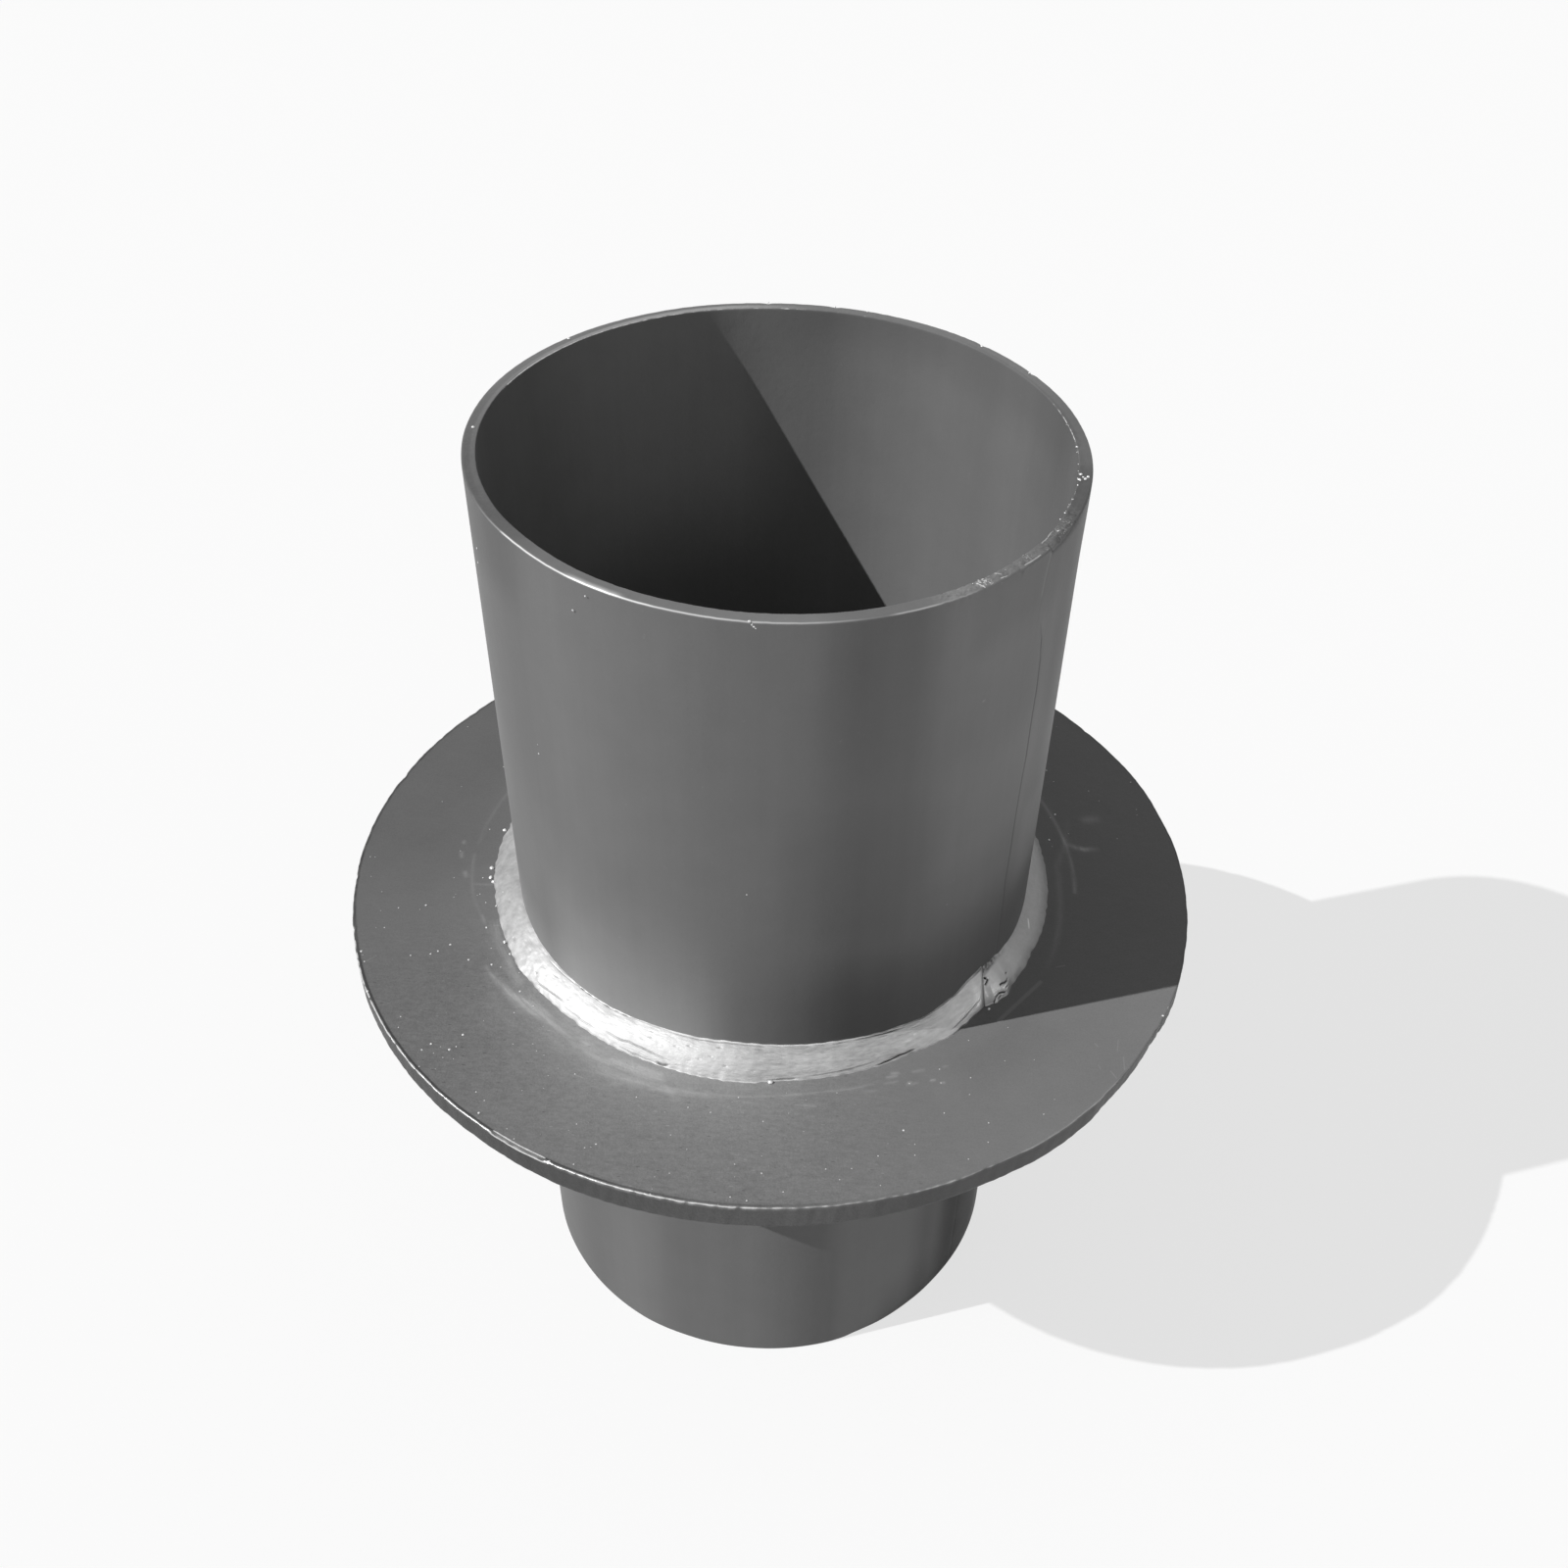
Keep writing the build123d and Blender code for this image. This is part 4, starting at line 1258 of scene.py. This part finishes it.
# %% Plate finish
plate_finish, start = new_finish("plate primer")
at = Place(start)
broad, patchy = at.cloud(48, 3), at.cloud(11, 3)
grain, grit = at.cloud(0.7, 2), at.cloud(1.5, 3, roughness=0.6)
top_side = at.z.rise(214.2, 214.9)
gritty = at.facing(-112, 24, 56) * 0.85 + 0.15
streaks, tufts = at.wisps(1.3, 9), at.wisps(4, 5)
halo = at.mark("brushed") * (0.76 + streaks * 0.40 + tufts * 0.22).most(0).least(1.5)
left_streaks = (tufts * 0.20 + streaks * 0.14) * at.facing(-142, 10, 34)
# the glow is rubbed coat and painted light from the weld together
glow = at.mark("rubbed") * (0.95 + left_streaks + streaks * 0.04 + tufts * 0.05)

marks = [  # (one end, other end, width, strength), an end is (angle, radius)
    ((-40, 126.6), (-27.0, 128.6), 1.3, 2.2), ((-22, 131.3), (-21, 134.1), 0.5, 1.6),
    ((-157, 172.2), (-156.3, 177.3), 0.4, 1.3), ((-82, 132.4), (-78.7, 133.9), 0.6, 1.3),
    ((-36.5, 175.3), (-37.0, 179.0), 0.4, 1.3), ((-31.1, 169.3), (-32.9, 171.8), 0.35, 1.0),
    ((-33.7, 162.8), (-33.9, 164.5), 0.5, 1.1), ((-33.4, 175.4), (-35.1, 179.0), 0.4, 1.1),
    ((-36.7, 169.8), (-37.1, 171.6), 0.35, 0.9), ((-119, 140.6), (-117.3, 140.1), 0.4, 1.4),
    ((64, 140), (92, 151), 0.6, 0.8), ((120, 168), (131, 139), 0.5, 0.8)]
scuffs = sum(at.scratch(first, last, width) * power for first, last, width, power in marks)
specks = at.dots(5.5, 0.32) * gritty * top_side
rolled_way = (0.35, 1, 1)
flecks = (at.dots(3.6, 0.34, rolled_way) - at.dots(3.1, 0.34, rolled_way)) * gritty * top_side
rolled = at.cloud(1.4, 3, squeeze=rolled_way) * gritty * top_side

tone = 0.202 + broad * 0.006 + patchy * 0.005 + grit * 0.018 * gritty
# painted light makes the front a little lighter here; the next lines paint shade towards the back, the left,
# and in a band at the front right beside the pipe's shadow
tone = tone + grain * (0.011 + gritty * 0.013) + at.facing(-100, 15, 60) * 0.012
painted_plate_shade = at.facing(-45, 3, 13) * at.radius.rise(126, 134) * at.radius.rise(158, 144) * 0.012
painted_plate_shade = painted_plate_shade + at.facing(170, 52, 78) * 0.032 + at.facing(160, 14, 34) * 0.028
tone = tone - painted_plate_shade * top_side + glow * 0.155 + halo * 0.155
tone = tone + scuffs * top_side * 0.035 + specks * 0.08 + flecks * 0.07 + rolled * 0.024
# thin coat over scale darkens the cut face; the extra darkening at the left, where it faces the lamp, is
# painted shade
scale_and_shade = 0.36 + at.facing(-150, 25, 75) * 0.33
tone = tone * (1 - at.mark("cut") * (1 - at.mark("wear").rise(0.2, 0.5)) * scale_and_shade)
# painted shadow of the lip along its inside
tone = tone * (1 - at.mark("parting") * 0.85)

ragged = at.wisps(1.2, 5)
bare = (at.mark("wear") + ragged * 0.10 + grain * 0.04).rise(0.50, 0.60)
bare = bare.most(at.mark("line") * (1 + ragged * 0.6))
steel = 0.66 + at.cloud(1.3, 2) * 0.08
sheen = 0.54 + patchy * 0.03 + grit * 0.03 - bare * 0.20 - halo * 0.12
skin = (grit * 0.040 + grain * 0.014) * gritty + patchy * 0.05 + specks * 0.15
join_up(plate_finish, {"Specular IOR Level": 0.2, "Diffuse Roughness": 0.3},
        {"Base Color": blend(bare, tone, steel), "Roughness": sheen,
         "Metallic": bare * 0.6 + halo * 0.2, "Normal": bump(skin)})

# %% [markdown]
# ### Weld metal
#
# The bead was left unpainted and wire-brushed. It is the palest thing on the object, silvery but
# never a mirror: half metal, half dull oxide. The left is mottled with slag, the front is clean and
# bright with faint wisps that run along the bead, and a painted highlight brightens it further at
# the front left, where the lamp glints. Right of the front the wisps are coarser, like fibres, and
# the right is smoother, with painted shade that makes it greyer where the pipe shades the bead.
# Dirt stays in the grooves that the mesh marked, painted shade darkens the lump's end, and the crust
# is paler.

# %% Weld finish
weld_finish, start = new_finish("weld metal")
at = Place(start)
blotch, fleck, fine = at.cloud(8, 4), at.cloud(1.8, 2), at.cloud(0.6, 2)
wispy, dashes = at.wisps(2.2, 4), at.wisps(0.8, 4)
rubbed = at.facing(-95, 12, 50)
mottled = at.facing(-168, 15, 50)
# a cleaner front, with a painted highlight at the front left where the lamp glints
clean_and_glint = at.facing(-127, 13, 39) + at.facing(-84, 6, 20) * 0.35
# painted shade: the bead is darker on the right, where the pipe shades it
shaded_right = at.facing(14, 24, 66)
fibrous = at.facing(-66, 14, 34)
beside_wall = at.z.rise(217.5, 221.5) * at.facing(-127, 12, 30)
# dirt in the grooves, and painted shade on the lump's end
dirt_and_shade_share = at.mark("dirt").rise(0.10, 0.95)
tone = 0.43 + clean_and_glint * 0.13 - shaded_right * 0.17 - rubbed * 0.05 - mottled * 0.03 + beside_wall * 0.12
tone = tone + blotch * 0.10 * mottled + fleck * (0.012 + mottled * 0.035) + fine * 0.008
tone = tone + dashes * (rubbed * 0.035 + fibrous * 0.05)
tone = tone + wispy * (0.014 + clean_and_glint * 0.03 + fibrous * 0.05) + at.mark("crust") * 0.35
sheen = 0.45 + rubbed * 0.12 + blotch * 0.03 + wispy * 0.03 + dirt_and_shade_share * 0.3 + shaded_right * 0.08
skin = fleck * 0.02 * mottled + wispy * 0.04 + fine * 0.010 + dashes * (rubbed * 0.035 + fibrous * 0.03)
metal = at.facing(-35, 42, 85) * 0.42 + 0.32
join_up(weld_finish, {"Specular IOR Level": 0.2},
        {"Base Color": blend(dirt_and_shade_share, tone, 0.04), "Roughness": sheen, "Metallic": metal * (1 - dirt_and_shade_share),
         "Normal": bump(skin)})

# %% [markdown]
# ### Nibs and burrs
#
# A grain of dust in the primer is rubbed paler at its tip than the coat around it. A burr is bare
# steel, and so is a drop of spatter. All are small, so their finishes only need to change from blob
# to blob.

# %% Small finishes
nib_finish, start = new_finish("rubbed nib")
at = Place(start)
each = at.cloud(4, 1)
join_up(nib_finish, {"Specular IOR Level": 0.35},
        {"Base Color": blend(each.rise(-0.9, 0.1), 0.42, 0.90), "Roughness": 0.5 + each * 0.05,
         "Normal": bump(at.cloud(0.3) * 0.02)})
burr_finish, start = new_finish("burr steel")
at = Place(start)
each = at.cloud(3, 1)
join_up(burr_finish, {"Specular IOR Level": 0.5},
        {"Base Color": blend(each.rise(-0.8, 0.2), 0.60, 0.92), "Roughness": 0.42 + each * 0.05,
         "Metallic": 0.35 + each * 0.1, "Normal": bump(at.cloud(0.4) * 0.03)})

# %% [markdown]
# ## Tie the looks to the model
#
# Each ring takes the place of the solid that it was shaped on, which then stays hidden. The whole
# object is one body without joints, so every piece rides on the root.

# %% Ride and replace
for piece, finish, slot in [
        (pipe_piece, pipe_finish, "pipe_primer"), (plate_piece, plate_finish, "plate_primer"),
        (bead_piece, weld_finish, "weld_metal"), (under_piece, weld_finish, "weld_metal"),
        (spatter_piece, burr_finish, "weld_metal"), (burr_piece, burr_finish, "weld_metal"),
        (nib_piece, nib_finish, "plate_primer")]:
    piece.data.materials.append(finish)
    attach(piece, "root")
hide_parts("pipe")
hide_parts("puddle_flange")
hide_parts("upper_weld")
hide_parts("lower_weld")
